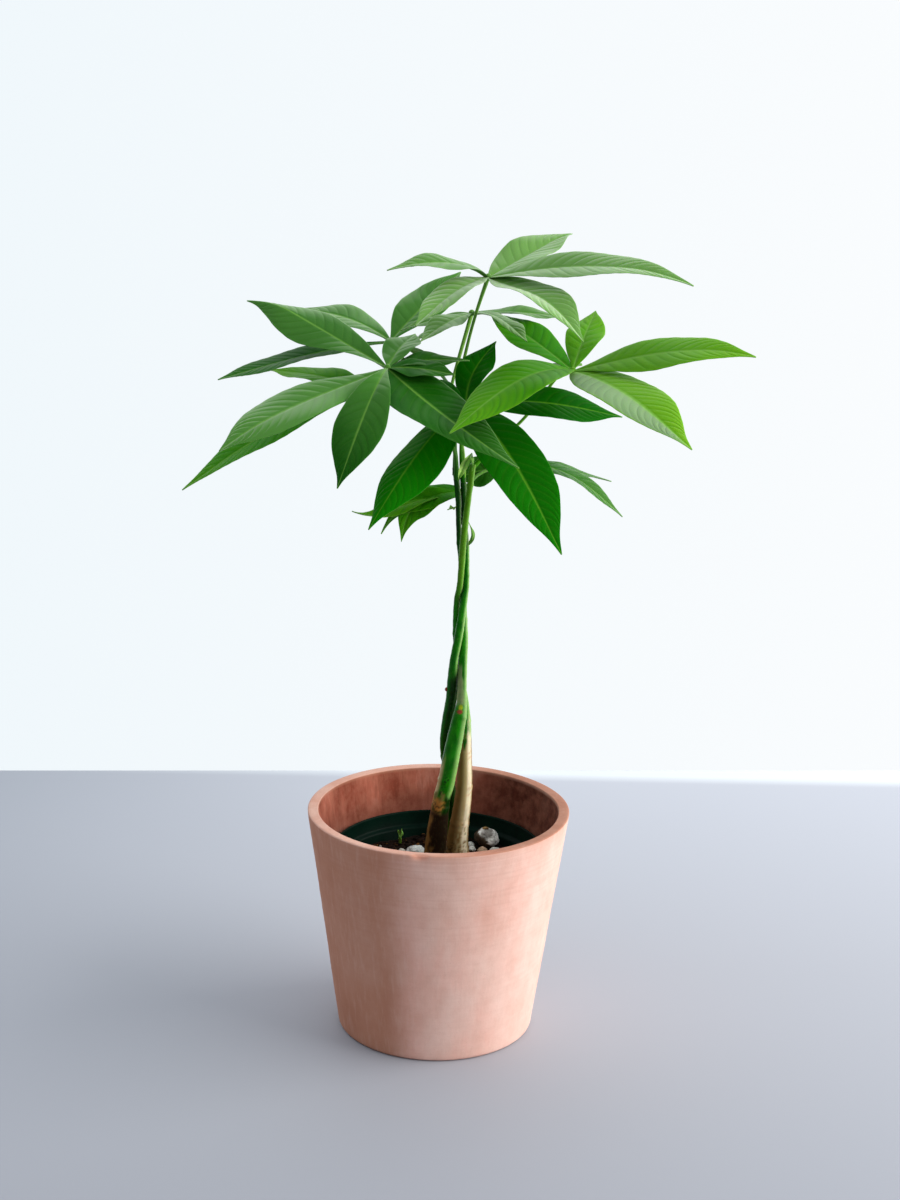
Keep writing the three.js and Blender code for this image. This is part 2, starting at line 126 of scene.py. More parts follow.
# Trunks from the crown down into the soil: x, y, z, radius
TRUNKS = {
    "stem_1": [
        (10, 3, 320, 1.7), (10.8, 3.5, 308, 1.6), (11, 3.5, 297, 1.6), (12.5, 2.6, 283, 1.65),
        (12.9, 1, 269, 1.65), (12.9, 0, 260, 1.7), (11.9, -1.5, 252, 1.95), (10.5, -3, 241, 2.2),
        (9, -3.5, 230, 2.3), (7, -3, 218, 2.3), (6.5, 0.6, 206, 2.9), (6, 2.5, 194, 3.1),
        (4.2, 5, 181, 3.1), (2.8, 7, 168, 2.8), (3.6, 9, 158, 2.9), (6, 12, 143, 3),
        (8, 14.5, 110, 3.1), (8.5, 15, 92, 3.2), (8.5, 15, STEM_SEAT, 3.2),
    ],
    "stem_2": [
        (5.5, 1, 326, 1.6), (6.4, 1, 320, 1.6), (7.6, 1.5, 308, 1.5), (8, 1.6, 297, 1.45),
        (8.8, 2.2, 283, 1.45), (10.4, 3.2, 269, 1.55), (11.4, 3.4, 251, 1.9), (11.8, 2.5, 240, 2.2),
        (12.2, 1, 229, 2.5), (12, -0.5, 218, 2.5), (11.9, -2, 206, 2.5), (11.8, -4, 198, 2.7),
        (11.7, -5.5, 192, 3.1), (10.8, -7.5, 187, 3.8), (8.4, -9, 174, 4.5), (6.3, -9.5, 162, 4.7),
        (4.3, -9.5, 150, 4.75), (1.6, -9.5, 138, 4.9), (0.2, -9.5, 126, 5.4), (-0.7, -9.5, 117, 5.9),
        (-2.2, -9.5, 100, 6.1), (-3.2, -9.5, STEM_SEAT, 6.2),
    ],
    "stem_3": [
        (15.2, -3, 329, 1.7), (14.1, -3.5, 319, 1.6), (12.9, -3.5, 308, 1.65), (11.8, -3.5, 297, 1.75),
        (10.7, -3, 284, 1.9), (10, -1.8, 269, 1.75), (9.4, -0.8, 260, 1.7), (8.1, 0.3, 252, 1.7),
        (7.7, 1, 240, 1.7), (8.1, 3.5, 228, 1.8), (10, 5.2, 216, 2.1), (11, 5.2, 205, 2.4),
        (11.8, 4.6, 199, 2.5), (12.9, 3.8, 193, 2.7), (14.2, 3, 181, 3), (14.4, 3, 169, 3.5),
        (14.5, 3, 157, 3.9), (14.5, 3, 145, 4.4), (13.7, 3, 133, 4.9), (12.3, 3, 121, 5.3),
        (11.4, 3, 112, 5.8), (11, 3, 100, 6.1), (11, 3, STEM_SEAT, 6.3),
    ],
}

TRUNK_SIDES = 40
TRUNK_RINGS = 420
JOINTS = {
    "stem_1": (302, 266, 236, 200, 158),
    "stem_2": (312, 284, 240, 187, 150, 134),
    "stem_3": (318, 276, 232, 181, 163, 142, 120),
}
JOINT_SWELL = 0.32
JOINT_REACH = 1.3
ROOT_FLARE = 1.7
BUD = (3.5, 1.2, 199.8)
BUD_RADIUS = 1.25

# Rings of colour on the second and third trunk: height, half width and colour, or height alone
LEAF_SCARS = [(138.6, 1.3, "ring"), (136.4, 0.5, "brown"), (135, 0.9, "ring"), (133.2, 0.6, "deep")]
TAN_RINGS = (163, 160, 142, 139)

# Leaves: slot, tints, where the leaflets meet, the stalk's path, and the leaflets as
# (azimuth, pitch, length, width, bow, roll, fold, sway, peak, skew, twist, tip, unfold);
# a leaflet's tint is from 0, dark, to 1, pale, or two of them from stalk to tip
LEAVES = {
    "leaf_a": dict(
        slot="leaf_mid", tints=[0.45, 0.95, 0.8, 1.0, 0.95], junction=(21, -5, 430),
        path=[(5.5, 1, 322), (5.4, 2, 345), (6.3, 5, 368), (10.2, 12, 388), (14.9, 3.4, 409)],
        leaflets=[
            (-148, 7, 62, 20, 0.09, 15, 10, 0, 0.75, 0.75, 0, 0.02),
            (48, 17, 72, 28, 0, -10, 18, 0, 0.85, 0.9, 0, 0.03),
            (-22, 3.5, 112, 31, 0.05, -18, 12, 0, 1, 0.85, 0, 0.04),
            (-51, -18, 80, 30, 0.09, -10, 18, 0, 1.3, 0.9, 14),
            (-121, -14, 74, 22, 0.05, 2, 16, 0, 0.85, 0.9),
        ]),
    "leaf_b": dict(
        slot="leaf_deep", tints=[0.5, 0.88, (0.85, -0.25), 0.06, 0.2, 0.1, 0.7], junction=(-31, -25, 384),
        path=[(6.3, 0.2, 320), (5.7, -2.6, 331), (2.5, -6, 344), (-8.5, -14, 360), (-20, -21.5, 373)],
        leaflets=[
            (150, 22, 94, 30, 0, 22, 34, 0, 0.85, 1.1, 0, 0.08, -72),
            (-148, -19, 104, 38, 0.025, 12, 6, 0, 1.3, 1.2, 0, 0.02),
            (-110, -38, 84, 28, 0.12, 18, 24, -0.04, 0.85, 1.2, -30, 0, -30),
            (-46, -21, 105, 41, -0.02, -9, 8, 0, 0.85, 0.58),
            (20, 3, 46, 16, 0.05, -16),
            (-10, -3, 36, 20, 0.04, -20),
            (70, 18, 42, 20, 0.06, 0),
        ]),
    "leaf_c": dict(
        slot="leaf_fresh", tints=[0.02, 0.3, 0.4, 0.55, 0.15, 0.3], junction=(67, -10, 382),
        path=[(15, -3, 327), (27, 3, 339), (40, 8, 350), (51, 14, 362), (60, 11, 375)],
        leaflets=[
            (130, 19, 74, 26, 0.02, 10, 10),
            (75, 24, 62, 21, 0.04, 0, 4, 0, 0.85, 1.1),
            (-20, 10, 99, 34, 0.045, -22, 6, 0, 1.1, 1, 0, 0.03),
            (-59, -12.5, 109, 40, 0.055, -5, 8, 0, 0.9, 0.78),
            (-131, -12, 101, 37, 0.09, 6, 18, 0, 0.8, 0.75, 0, 0, -26),
            (100, -12, 40, 20, 0.1, 0),
        ]),
    "leaf_d": dict(
        slot="leaf_mid", tints=[0.5, 0.3, 0.5, 0.6, 0.4], junction=(13, 25, 407),
        path=[(10.2, 3.6, 316), (10.4, 8.5, 328), (8.5, 12, 340), (4.5, 15, 353), (2.7, 18, 367)],
        leaflets=[
            (-61, -7, 60, 18, 0.08, 8),
            (20, -4, 60, 16, 0.03, -10),
            (-176, -14, 40, 12, 0.04, 8),
            (-119, -9, 56, 16, 0.04, 8, 12),
            (-150, -20, 38, 18, 0.02, -14),
        ]),
    "leaf_e": dict(
        slot="leaf_dark", tints=[0.35, 0.3, 1.0, 0.1, 0.3], junction=(11, -20, 365),
        path=[(10, 2.6, 318), (8.6, 0, 331), (8.6, -7, 343), (9.8, -14, 355)],
        leaflets=[
            (-60, -32, 114, 38, 0.06, -4, 10, 0, 0.85, 0.85),
            (68, 34, 50, 20, 0.02, 0, 10, -0.08),
            (-125, -32, 100, 31, 0.06, 6, -14, 0, 0.85, 0.9),
            (21, -7, 92, 30, 0.045, -28, 6),
            (150, 3, 54, 24, 0.1, 10),
        ]),
    "leaf_f": dict(
        slot="leaf_deep", tints=[0.62, 0.02, 0.6, 0, 1], junction=(-31, 25, 391),
        path=[(7.4, 2, 310), (7, 6, 322), (5.5, 8, 335), (2, 11, 346), (-6.6, 14, 359), (-18.4, 20, 374)],
        leaflets=[
            (150, 11, 66, 30, 0.07, 8),
            (-156, -9.5, 100, 27, 0.025, 6, 10, 0, 0.85, 1.2),
            (54, 27, 72, 31, 0.02, -6),
            (-25, -32, 49, 22, 0.08, 30),
            (-8, -27, 35, 14, 0.05, 20),
        ]),
    "leaf_k": dict(
        slot="leaf_deep", skin="leaf_fresh", tints=[0, 0.2, 0.1], junction=(-40, 10, 365),
        path=[(6.2, 2, 319), (5.4, 4.7, 331), (2.5, 6, 342), (-7, 7, 355), (-19.6, 8, 363),
              (-30.5, 9, 366.6)],
        leaflets=[
            (-162, -25, 116, 28, 0.06, 12, 10, 0, 0.85, 1.1),
            (150, 5, 68, 26, 0.04, 10),
            (80, -10, 52, 24, 0.1, 0),
        ]),
    "leaf_h": dict(
        slot="leaf_mid", tints=[0.05, 0.1, 0], junction=(29, 20, 322),
        path=[(10.5, 3.3, 313), (17, 12, 319), (24, 17, 322)],
        leaflets=[
            (-10, -18, 74, 20, 0.16, -8),
            (16, -8, 68, 16, 0.06, -6),
            (-170, -12, 24, 20, 0.05, 50, 5, 0, 0.85, 0.75),
        ]),
    "leaf_g": dict(
        slot="leaf_fresh", tints=[0, 0, 0.2], junction=(11, 16, 309),
        path=[(8.3, 1.7, 292), (8.2, 7, 300), (9.6, 12.5, 306)],
        leaflets=[
            (-160, -16, 52, 19, 0.1, 25, 8, 0, 0.8, 0.65, 0, 0.12),
            (-156, -17, 43, 17, 0.1, 20, 12, 0, 0.8, 1.4, 45, 0.3),
            (-156, -12, 66, 12, 0.05, 15, 10, 0, 0.85, 1.3, 0, -0.13),
        ]),
}

# Lumps in the soil: x, y, z of the middle, radius, height share
STONES = [
    (28.6, 35.8, 98.2, 7.4, 0.76), (-13, 17, 95.2, 5.7, 0.8), (19, 34, 93.6, 2.5, 0.9),
    (20, 29, 93.2, 2.1, 0.9), (26, 26.6, 93.4, 2.9, 0.8), (33, 27, 93.4, 3, 0.8),
    (-21, 24, 93.2, 2.1, 0.8), (4, -32, 93.6, 3.8, 0.75), (-30, -20, 93.4, 3.2, 0.8),
    (36, -22, 93.8, 4.3, 0.75),
]
STONE_COLOURS = [
    (255, 253, 248), (236, 240, 236), (232, 232, 226), (232, 232, 226), (206, 172, 142),
    (230, 226, 218), (214, 208, 196), (202, 198, 190), (220, 222, 218), (206, 194, 176),
]

# Seedling, and small growths that are one with their trunk: start, leaflet
SEEDLING_STALK = [(-22.4, 38, 88, 0.8), (-22.4, 38, 93, 0.8), (-22.2, 38, 96, 0.7)]
SEEDLING_TOP = (-22.2, 38, 95)
SEEDLING_LEAVES = [((-60, 80, 7.5, 3, 0.05, 0, 20), 0.4), ((160, 76, 6, 2.6, 0.05, 0, 20), 0.5)]
SEEDLING_VEINS = 1.6
SHOOTS = [
    ((7.6, 1.5, 305), (-150, -12, 7, 2.4, 0, 0)),
    ((15, -3.9, 326), (-100, 77, 10.5, 1.6, 0, 0)),
    ((14.6, -5.7, 335.8), (-158, -62, 17, 5, 0.05, 70, 35)),
    ((13.2, -2.6, 298), (0, -91, 15, 2.4, 0.2, 80, 10, 0, 1.2, 1.8)),
]
SHOOT_VEINS = 2.5
SHOOT_TINT = 0.8

# Floor, window and camera, in metres and degrees
FLOOR_EDGE = 0.4236
FLOOR_SLANT = 0.0577
FLOOR_NEAR = -3.0
FLOOR_LEFT = -3.2
FLOOR_RIGHT = 1.45
WINDOW_PLACE = (1.5, -0.2, 0.7)
WINDOW_AIM = (0, 0, 0.2)
WINDOW_SIZE = (1.7, 1.5)
WINDOW_POWER = 40
WINDOW_COLOUR = (1.0, 0.96, 0.9)
CAMERA_PLACE = (0.0042, -1.119, 0.554)
CAMERA_TILT = 74.89
CAMERA_ROLL = 1.12
CAMERA_LENS = 63.0
SENSOR_WIDTH = 36.0


# Maths helpers
def unit(v):
    return v / np.maximum(np.linalg.norm(v, axis=-1, keepdims=True), 1e-9)


def monotone(table, x):
    """Smooth monotone curve through (x, y) pairs."""
    xs, ys = (np.array(column, float) for column in zip(*table))
    gap = np.diff(xs)
    rise = np.diff(ys) / gap
    slope = np.zeros_like(ys)
    slope[0], slope[-1] = rise[0], rise[-1]
    same = rise[:-1] * rise[1:] > 0
    inner = 2 * rise[:-1] * rise[1:] / np.where(same, rise[:-1] + rise[1:], 1)
    slope[1:-1] = np.where(same, inner, 0)
    i = np.clip(np.searchsorted(xs, x, side="right") - 1, 0, len(xs) - 2)
    u = (x - xs[i]) / gap[i]
    a = (2 * u**3 - 3 * u**2 + 1) * ys[i] + (u**3 - 2 * u**2 + u) * gap[i] * slope[i]
    return a + (3 * u**2 - 2 * u**3) * ys[i + 1] + (u**3 - u**2) * gap[i] * slope[i + 1]


def through(points, count):
    """Even steps along a Catmull-Rom curve through rows of numbers."""
    p = np.array(points, float)
    p = np.vstack([2 * p[0] - p[1], p, 2 * p[-1] - p[-2]])
    place = np.linspace(0, len(points) - 1, count)
    i = np.minimum(place.astype(int), len(points) - 2)
    u = (place - i)[:, None]
    a, b, c, d = p[i], p[i + 1], p[i + 2], p[i + 3]
    return 0.5 * ((2 * b) + (c - a) * u + (2 * a - 5 * b + 4 * c - d) * u**2
                  + (3 * b - a - 3 * c + d) * u**3)


def fbm(points, scale, octaves):
    """Fractal noise at each point."""
    return np.array([noise.fractal(Vector(p) * scale, 1.0, 2.0, octaves) for p in points])


def step(none, full, value):
    """0 at none, 1 at full and smooth between, whichever of the two is larger."""
    k = np.clip((value - none) / (full - none), 0, 1)
    return k * k * (3 - 2 * k)


def bell(x):
    return np.exp(-x**2)


def blend(one, two, share):
    return np.array(one) * (1 - share) + np.array(two) * share


# Mesh helpers: a chunk is (points in mm, faces, vertex colours)
def circle(count):
    return np.linspace(0, 2 * np.pi, count, endpoint=False)


def grid_faces(rows, columns, start=0, wrap=False, flip=False):
    i, j = np.meshgrid(np.arange(rows - 1), np.arange(columns if wrap else columns - 1), indexing="ij")
    k = (j + 1) % columns
    corners = [i * columns + j, i * columns + k, (i + 1) * columns + k, (i + 1) * columns + j]
    quads = np.stack(corners, -1).reshape(-1, 4) + start
    return (quads[:, ::-1] if flip else quads).tolist()


def ring_faces(rings, sides):
    """A stack of closed rings with a cap at both ends."""
    faces = grid_faces(rings, sides, wrap=True)
    faces.append(list(range(sides))[::-1])
    faces.append(list(range((rings - 1) * sides, rings * sides)))
    return faces


def tones(verts, *values):
    """Vertex colours from values or columns, with 1 for what isn't given."""
    out = np.ones((len(verts), 4))
    for i, value in enumerate(values):
        out[:, i] = value
    return out


def add_object(name, data):
    obj = bpy.data.objects.new(name, data)
    scene.collection.objects.link(obj)
    return obj


def piece(name, chunks, look, nodes):
    """One object from its chunks, which stands for the CAD nodes named."""
    points = []
    faces = []
    colours = []
    base = 0
    for verts, polys, colour in chunks:
        points.append(verts)
        colours.append(colour)
        faces.extend((np.array(poly) + base).tolist() for poly in polys)
        base += len(verts)
    mesh = bpy.data.meshes.new(name)
    mesh.from_pydata((np.concatenate(points) * MM).tolist(), [], faces)
    mesh.polygons.foreach_set("use_smooth", [True] * len(mesh.polygons))
    tone = mesh.color_attributes.new("tone", "FLOAT_COLOR", "POINT")
    tone.data.foreach_set("color", np.concatenate(colours).astype(np.float32).ravel())
    mesh.update()
    mesh.materials.append(look)
    obj = add_object(name, mesh)
    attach(obj, "root")
    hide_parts(*nodes)


def tube(points, sides, rings, bumps=None):
    """A round stalk through (x, y, z, radius), and for each point the middle of its ring."""
    rows = through(points, rings)
    centre, radius = rows[:, :3], rows[:, 3]
    along = unit(np.gradient(centre, axis=0))
    across = np.zeros_like(centre)
    last = np.array([1.0, 0, 0])
    for i, direction in enumerate(along):
        last = unit(last - direction * (last @ direction))
        across[i] = last
    other = np.cross(along, across)
    turn = circle(sides)
    wide = np.repeat(radius[:, None], sides, 1)
    if bumps is not None:
        wide = wide + bumps(centre[:, 2][:, None], turn[None, :])
    ring = (across[:, None] * np.cos(turn)[None, :, None] + other[:, None] * np.sin(turn)[None, :, None])
    verts = (centre[:, None] + ring * wide[..., None]).reshape(-1, 3)
    return verts, ring_faces(rings, sides), np.repeat(centre, sides, 0)


def lathe(profile, sides, shift=None):
    """A profile of (radius, height) turned about the pot's axis."""
    rows = np.array(profile, float)
    turn = circle(sides)
    radius = np.repeat(rows[:, :1], sides, 1)
    height = np.repeat(rows[:, 1:2], sides, 1)
    verts = np.stack([radius * np.cos(turn), radius * np.sin(turn), height], -1).reshape(-1, 3)
    if shift is not None:
        verts = shift(verts)
    return verts, ring_faces(len(rows), sides)


def arc(cx, cz, radius, start, end, count):
    angle = np.radians(np.linspace(start, end, count))
    return [(cx + radius * math.cos(a), cz + radius * math.sin(a)) for a in angle]


def near(radius, height, *offsets):
    return [(radius + out, height + up) for out, up in offsets]


def straight(start, end, shares):
    return [(start[0] + (end[0] - start[0]) * k, start[1] + (end[1] - start[1]) * k) for k in shares]


def ball(centre, radius, level, shape=None):
    bm = bmesh.new()
    bmesh.ops.create_icosphere(bm, subdivisions=level, radius=1.0)
    verts = np.array([v.co[:] for v in bm.verts])
    faces = [[v.index for v in f.verts] for f in bm.faces]
    bm.free()
    grow = radius if shape is None else radius * shape(verts)[:, None]
    return verts * grow + np.array(centre), faces


def leaflet(start, spec, index, tint, fixed_sheen=0.0, vein_step=VEIN_STEP):
    """One leaflet with veins, a quilted blade between them and waved edges."""
    spec = tuple(spec) + LEAFLET_USUAL[len(spec):]
    azimuth, pitch, length, width, bow, roll, fold, sway, peak, skew, twist, tip, unfold = spec
    az, el = math.radians(azimuth), math.radians(pitch)
    along = np.array([math.cos(el) * math.cos(az), math.cos(el) * math.sin(az), math.sin(el)])
    right = np.array([math.sin(az), -math.cos(az), 0.0])
    up = np.cross(right, along)

    # tau runs from stalk to tip and s from edge to edge; t is tau carried forwards along the veins
    veined = VEIN_LAST - VEIN_FIRST
    pairs = max(4, round(VEINED_SHARE * length / vein_step))
    cuts = list(STALK_CUTS)
    for n in range(pairs):
        cuts += [VEIN_FIRST + veined * ((n + f) / pairs) ** VEIN_CROWDING for f in VEIN_CUTS]
    cuts += TIP_CUTS
    tau = np.array(cuts)[:, None]
    s = np.array([-cut for cut in ACROSS_CUTS[::-1]] + [0] + ACROSS_CUTS)[None, :]
    a = np.abs(s)
    slant = 1 / np.tan(np.radians(VEIN_ANGLE - VEIN_CLOSING * tau))
    lead = a * (1 + VEIN_BEND * a**2) * (0.5 * width / length) * monotone(OUTLINE, tau**skew) * slant
    t = np.minimum(tau + lead * (1 - tau**LEAD_POWER), 1)
    share = monotone(OUTLINE, t**skew)
    half = 0.5 * width * share
    off = s * half

    # The rib's arch, sway and drooping tip, and the directions across it and off the blade
    end = np.maximum(0, t - DROOP_START)[..., None] / (1 - DROOP_START)
    turn = np.radians(roll + twist * t)[..., None]
    past = np.maximum(t, 0.001)
    arch = np.sin(np.pi * past**peak)[..., None]
    slope = (np.pi * peak * past ** (peak - 1) * np.cos(np.pi * past**peak))[..., None]
    rib = (np.array(start)[None, None] + length * (t[..., None] * along
           + (bow * arch - tip * end**2) * up + sway * arch * right))
    rise = bow * slope - 2 * tip * end / (1 - DROOP_START)
    tangent = unit(along + rise * up + sway * slope * right)
    flat = unit(np.cross(tangent, up))
    high = np.cross(flat, tangent)
    side = flat * np.cos(turn) + high * np.sin(turn)
    normal = high * np.cos(turn) - flat * np.sin(turn)

    # The blade's cup, waved edge, ripples, quilting between the veins and groove over the midrib
    place = ((tau - VEIN_FIRST) / veined).clip(0, 1) ** (1 / VEIN_CROWDING) * pairs
    between = place - np.floor(place)
    to_vein = np.minimum(between, 1 - between)
    veins_here = ((tau > VEIN_FIRST) & (tau < VEIN_LAST)).astype(float)
    body = np.minimum(1, (1 - a) * 5) * np.minimum(1, half / 5)
    uneven = 0.65 + 0.35 * np.sin(2.3 * np.floor(place) + 1.7 * index + np.where(s > 0, 1.1, 0.0))
    swell = uneven * (np.abs(np.sin(np.pi * between)) ** 0.8 - 0.6) * veins_here * body
    quilt = QUILT * swell * np.minimum(1, a / 0.12)
    phase = index * GOLDEN_ANGLE + np.where(s > 0, 2.0, 0.0)
    wave = EDGE_WAVE * share * a * np.sin(2 * np.pi * WAVES * t + phase)
    ripple = EDGE_RIPPLE * share * a**4 * np.sin(2 * np.pi * place + index)
    groove = -GROOVE * bell(off / 0.7) * np.minimum(1, half / 3)
    crease = np.radians(fold + unfold * t)
    cup = half * (a * np.sin(crease) - EDGE_CURL * a**3)
    lift = cup + wave + ripple + quilt + groove
    across = off * np.cos(crease)

    # Below, the midrib and the side veins stand out, and the blade thins towards its edges
    stalk = np.exp(-t / 0.05)
    ridge = (MIDRIB * (1 - 0.7 * t) + STALK_RIB * stalk) * bell(off / (0.5 + 0.5 * stalk))
    lateral = SIDE_RIB * bell(to_vein / 0.09) * veins_here * body
    edge = np.clip((1 - a) * 12, 0.35, 1)
    top = rib + side * across[..., None] + normal * lift[..., None]
    low = top - normal * ((BLADE * edge) + ridge + lateral)[..., None]

    rows, columns = t.shape
    top, low = top.reshape(-1, 3), low.reshape(-1, 3)
    count = rows * columns
    faces = grid_faces(rows, columns) + grid_faces(rows, columns, count, flip=True)
    for i in range(rows - 1):
        b, c = i * columns, (i + 1) * columns
        faces.append([b, c, c + count, b + count])
        d, e = b + columns - 1, c + columns - 1
        faces.append([d, d + count, e + count, e])
    for j in range(columns - 1):
        faces.append([j, j + count, j + 1 + count, j + 1])
        b = (rows - 1) * columns + j
        faces.append([b, b + 1, b + 1 + count, b + count])

    mid = bell(off / (0.62 - 0.4 * t))
    fine = bell(to_vein / 0.075) * veins_here * (1 - 0.75 * a**3)
    vein = np.maximum(mid, 0.2 * fine)
    margin = 0.2 * np.clip((a - 0.94) / 0.06, 0, 1)
    at_stalk, at_tip = tint if isinstance(tint, tuple) else (tint, tint)
    # Paleness rises towards the tip and edges, and with the quilt's bulges, the last a painted shading of
    # the relief
    light = at_stalk + (at_tip - at_stalk) * t + 0.25 * t**3 + 0.06 * (1 - body) + margin + 0.2 * swell
    # Where a fixed sheen is given, a pale sheen is painted over most of the s > 0 half: a painted reflection
    free_of_fixed_sheen = 1 - fixed_sheen * step(0.02, 0.14, s) * step(1.0, 0.94, s) * step(0.0, 0.15, t) * step(1.0, 0.86, t)
    light = np.clip(light, 0, 1).ravel()
    upper = tones(top, vein.ravel(), light, 0.0, free_of_fixed_sheen.ravel())
    under = tones(low, vein.ravel(), light, 1.0)
    return np.concatenate([top, low]), faces, np.concatenate([upper, under])


# Node helpers
def join(tree, socket, value):
    """Links an output to a socket, or sets the socket's own value."""
    if hasattr(value, "is_output"):
        tree.links.new(value, socket)
    else:
        socket.default_value = value


def fill(tree, made, **sockets):
    """Joins a node's sockets, named with _ for a blank, to these values."""
    for name, value in sockets.items():
        join(tree, made.inputs[name.replace("_", " ")], value)


def node(tree, kind, **sockets):
    made = tree.nodes.new("ShaderNode" + kind)
    fill(tree, made, **sockets)
    return made


def material(name, roughness, **sockets):
    mat = bpy.data.materials.new(name)
    mat.use_nodes = True
    tree = mat.node_tree
    shader = tree.nodes["Principled BSDF"]
    fill(tree, shader, Roughness=roughness, **sockets)
    return mat, tree, shader


def mix(tree, factor, one, two, blend="MIX"):
    made = node(tree, "Mix")
    made.data_type = "RGBA"
    made.blend_type = blend
    for socket, value in ((made.inputs[0], factor), (made.inputs[6], one), (made.inputs[7], two)):
        join(tree, socket, value)
    return made.outputs[2]


def math_node(tree, operation, *values, clamp=False):
    made = node(tree, "Math")
    made.operation = operation
    made.use_clamp = clamp
    for socket, value in zip(made.inputs, values):
        join(tree, socket, value)
    return made.outputs[0]


def times(tree, one, two, clamp=False):
    return math_node(tree, "MULTIPLY", one, two, clamp=clamp)


def coat(tree, under, mask, strength, over):
    """One colour laid over another as strongly as the mask says."""
    return mix(tree, times(tree, mask, strength), under, over)


def ramp(tree, factor, stops):
    made = node(tree, "ValToRGB", Fac=factor)
    held = made.color_ramp.elements
    while len(held) < len(stops):
        held.new(0.5)
    for element, (place, colour) in zip(held, stops):
        element.position = place
        element.color = colour
    return made.outputs[0]


def gate(tree, factor, low, high, flip=False):
    """Black up to low and white from high on, or the other way round."""
    ends = (WHITE, BLACK) if flip else (BLACK, WHITE)
    return ramp(tree, factor, [(low, ends[0]), (high, ends[1])])


def place_node(tree, space="Object"):
    return node(tree, "TexCoord").outputs[space]


def axes(tree, space="Object"):
    return node(tree, "SeparateXYZ", Vector=place_node(tree, space)).outputs


def noise_node(tree, grain):
    scale, detail, roughness, *stretch = GRAINS[grain]
    place = node(tree, "Mapping", Vector=place_node(tree), Scale=stretch[0] if stretch else (1, 1, 1))
    made = node(tree, "TexNoise", Vector=place.outputs[0], Scale=scale, Detail=detail, Roughness=roughness)
    return made.outputs["Fac"]


def finish(tree, shader, colour, height, strength, distance):
    """Gives a shader its colour, and a bump of this strength and distance."""
    bump = node(tree, "Bump", Strength=strength, Distance=distance, Height=height)
    fill(tree, shader, Base_Color=colour, Normal=bump.outputs[0])


def tone_node(tree):
    attribute = node(tree, "Attribute")
    attribute.attribute_name = "tone"
    return attribute.outputs


def tone_parts(tree):
    """Red, green, blue and alpha of the vertex colours."""
    tone = tone_node(tree)
    split = node(tree, "SeparateColor", Color=tone["Color"])
    return (*split.outputs, tone["Alpha"])


# Materials. The vertex colours of a leaf are vein, paleness, underside and freedom from a fixed painted
# sheen, and those of the terracotta pot inside, fresh clay, chalk and painted shade inside, the first and
# third also painting light on the rim's top. On the rest they are the colour.
def rgb(r, g, b):
    """A colour of 0 to 255, as it looks, in Blender's linear values."""
    linear = (((c / 255 + 0.055) / 1.055) ** 2.4 if c > 10 else c / 255 / 12.92 for c in (r, g, b))
    return (*linear, 1.0)


BLACK = (0, 0, 0, 1)
WHITE = (1, 1, 1, 1)

# Noise: scale per metre, detail, roughness, and a stretch along x, y and z if it has one
GRAINS = {
    "leaf": (55, 5, 0.6),
    "leaf_fine": (900, 3, 0.6),
    "clay": (30, 6, 0.62, (1, 1, 0.5)),
    "mottle": (130, 5, 0.7),
    "streak": (420, 4, 0.65, (1, 1, 0.05)),
    "turning": (10, 5, 0.7, (0.6, 0.6, 60)),
    "speck": (1300, 3, 0.7),
    "plastic": (300, 3, 0.6),
    "dust": (40, 5, 0.65),
    "soil": (900, 5, 0.7),
    "pores": (420, 6, 0.75),
    "stain": (110, 4, 0.6),
    "bark": (260, 5, 0.65, (1, 1, 0.3)),
    "fibre": (1500, 4, 0.7, (1, 1, 0.25)),
}

CLAY = [(0.3, rgb(184, 126, 101)), (0.5, rgb(194, 138, 114)), (0.7, rgb(202, 151, 130))]
CHALK = [(0.35, rgb(236, 186, 172)), (0.6, rgb(238, 202, 190))]
CLAY_PATCH = rgb(190, 132, 110)
CLAY_LINE = rgb(184, 124, 102)
CLAY_STROKE = rgb(238, 210, 198)
CLAY_SPECK = rgb(160, 104, 86)
CLAY_FRESH = rgb(222, 120, 84)
INNER_CLAY = [(0.36, rgb(140, 68, 50)), (0.52, rgb(184, 107, 87)), (0.68, rgb(214, 154, 136))]
INNER_SHADE = rgb(66, 28, 16)
INNER_DRIP = rgb(182, 118, 96)
INNER_STROKE = rgb(112, 56, 40)
LINES_FROM = 0.06
LINES_RISE = 16.0
LINES_LEAST = 0.06
LINES_MORE = 0.14

PLASTIC = [(0.35, rgb(2, 20, 14)), (0.75, rgb(5, 36, 26))]
SOIL_SHADE = rgb(18, 10, 8)
PUMICE_DIRT = rgb(100, 88, 72)
PUMICE_STAIN = rgb(62, 48, 38)
BARK_SHADES = [(0.3, (0.6, 0.6, 0.6, 1)), (0.7, WHITE)]
BARK_SPECK = rgb(150, 150, 90)

VEIN_LIGHT = rgb(120, 176, 72)
VEIN_DARK = rgb(96, 160, 40)
UNDERSIDE = rgb(110, 156, 76)
# Tints of the painted sheen that pales a leaf seen aslant, a painted reflection of the bright room
GRAZING_SHEEN = rgb(176, 204, 160)
GRAZING_SHEEN_FRESH = rgb(156, 200, 96)
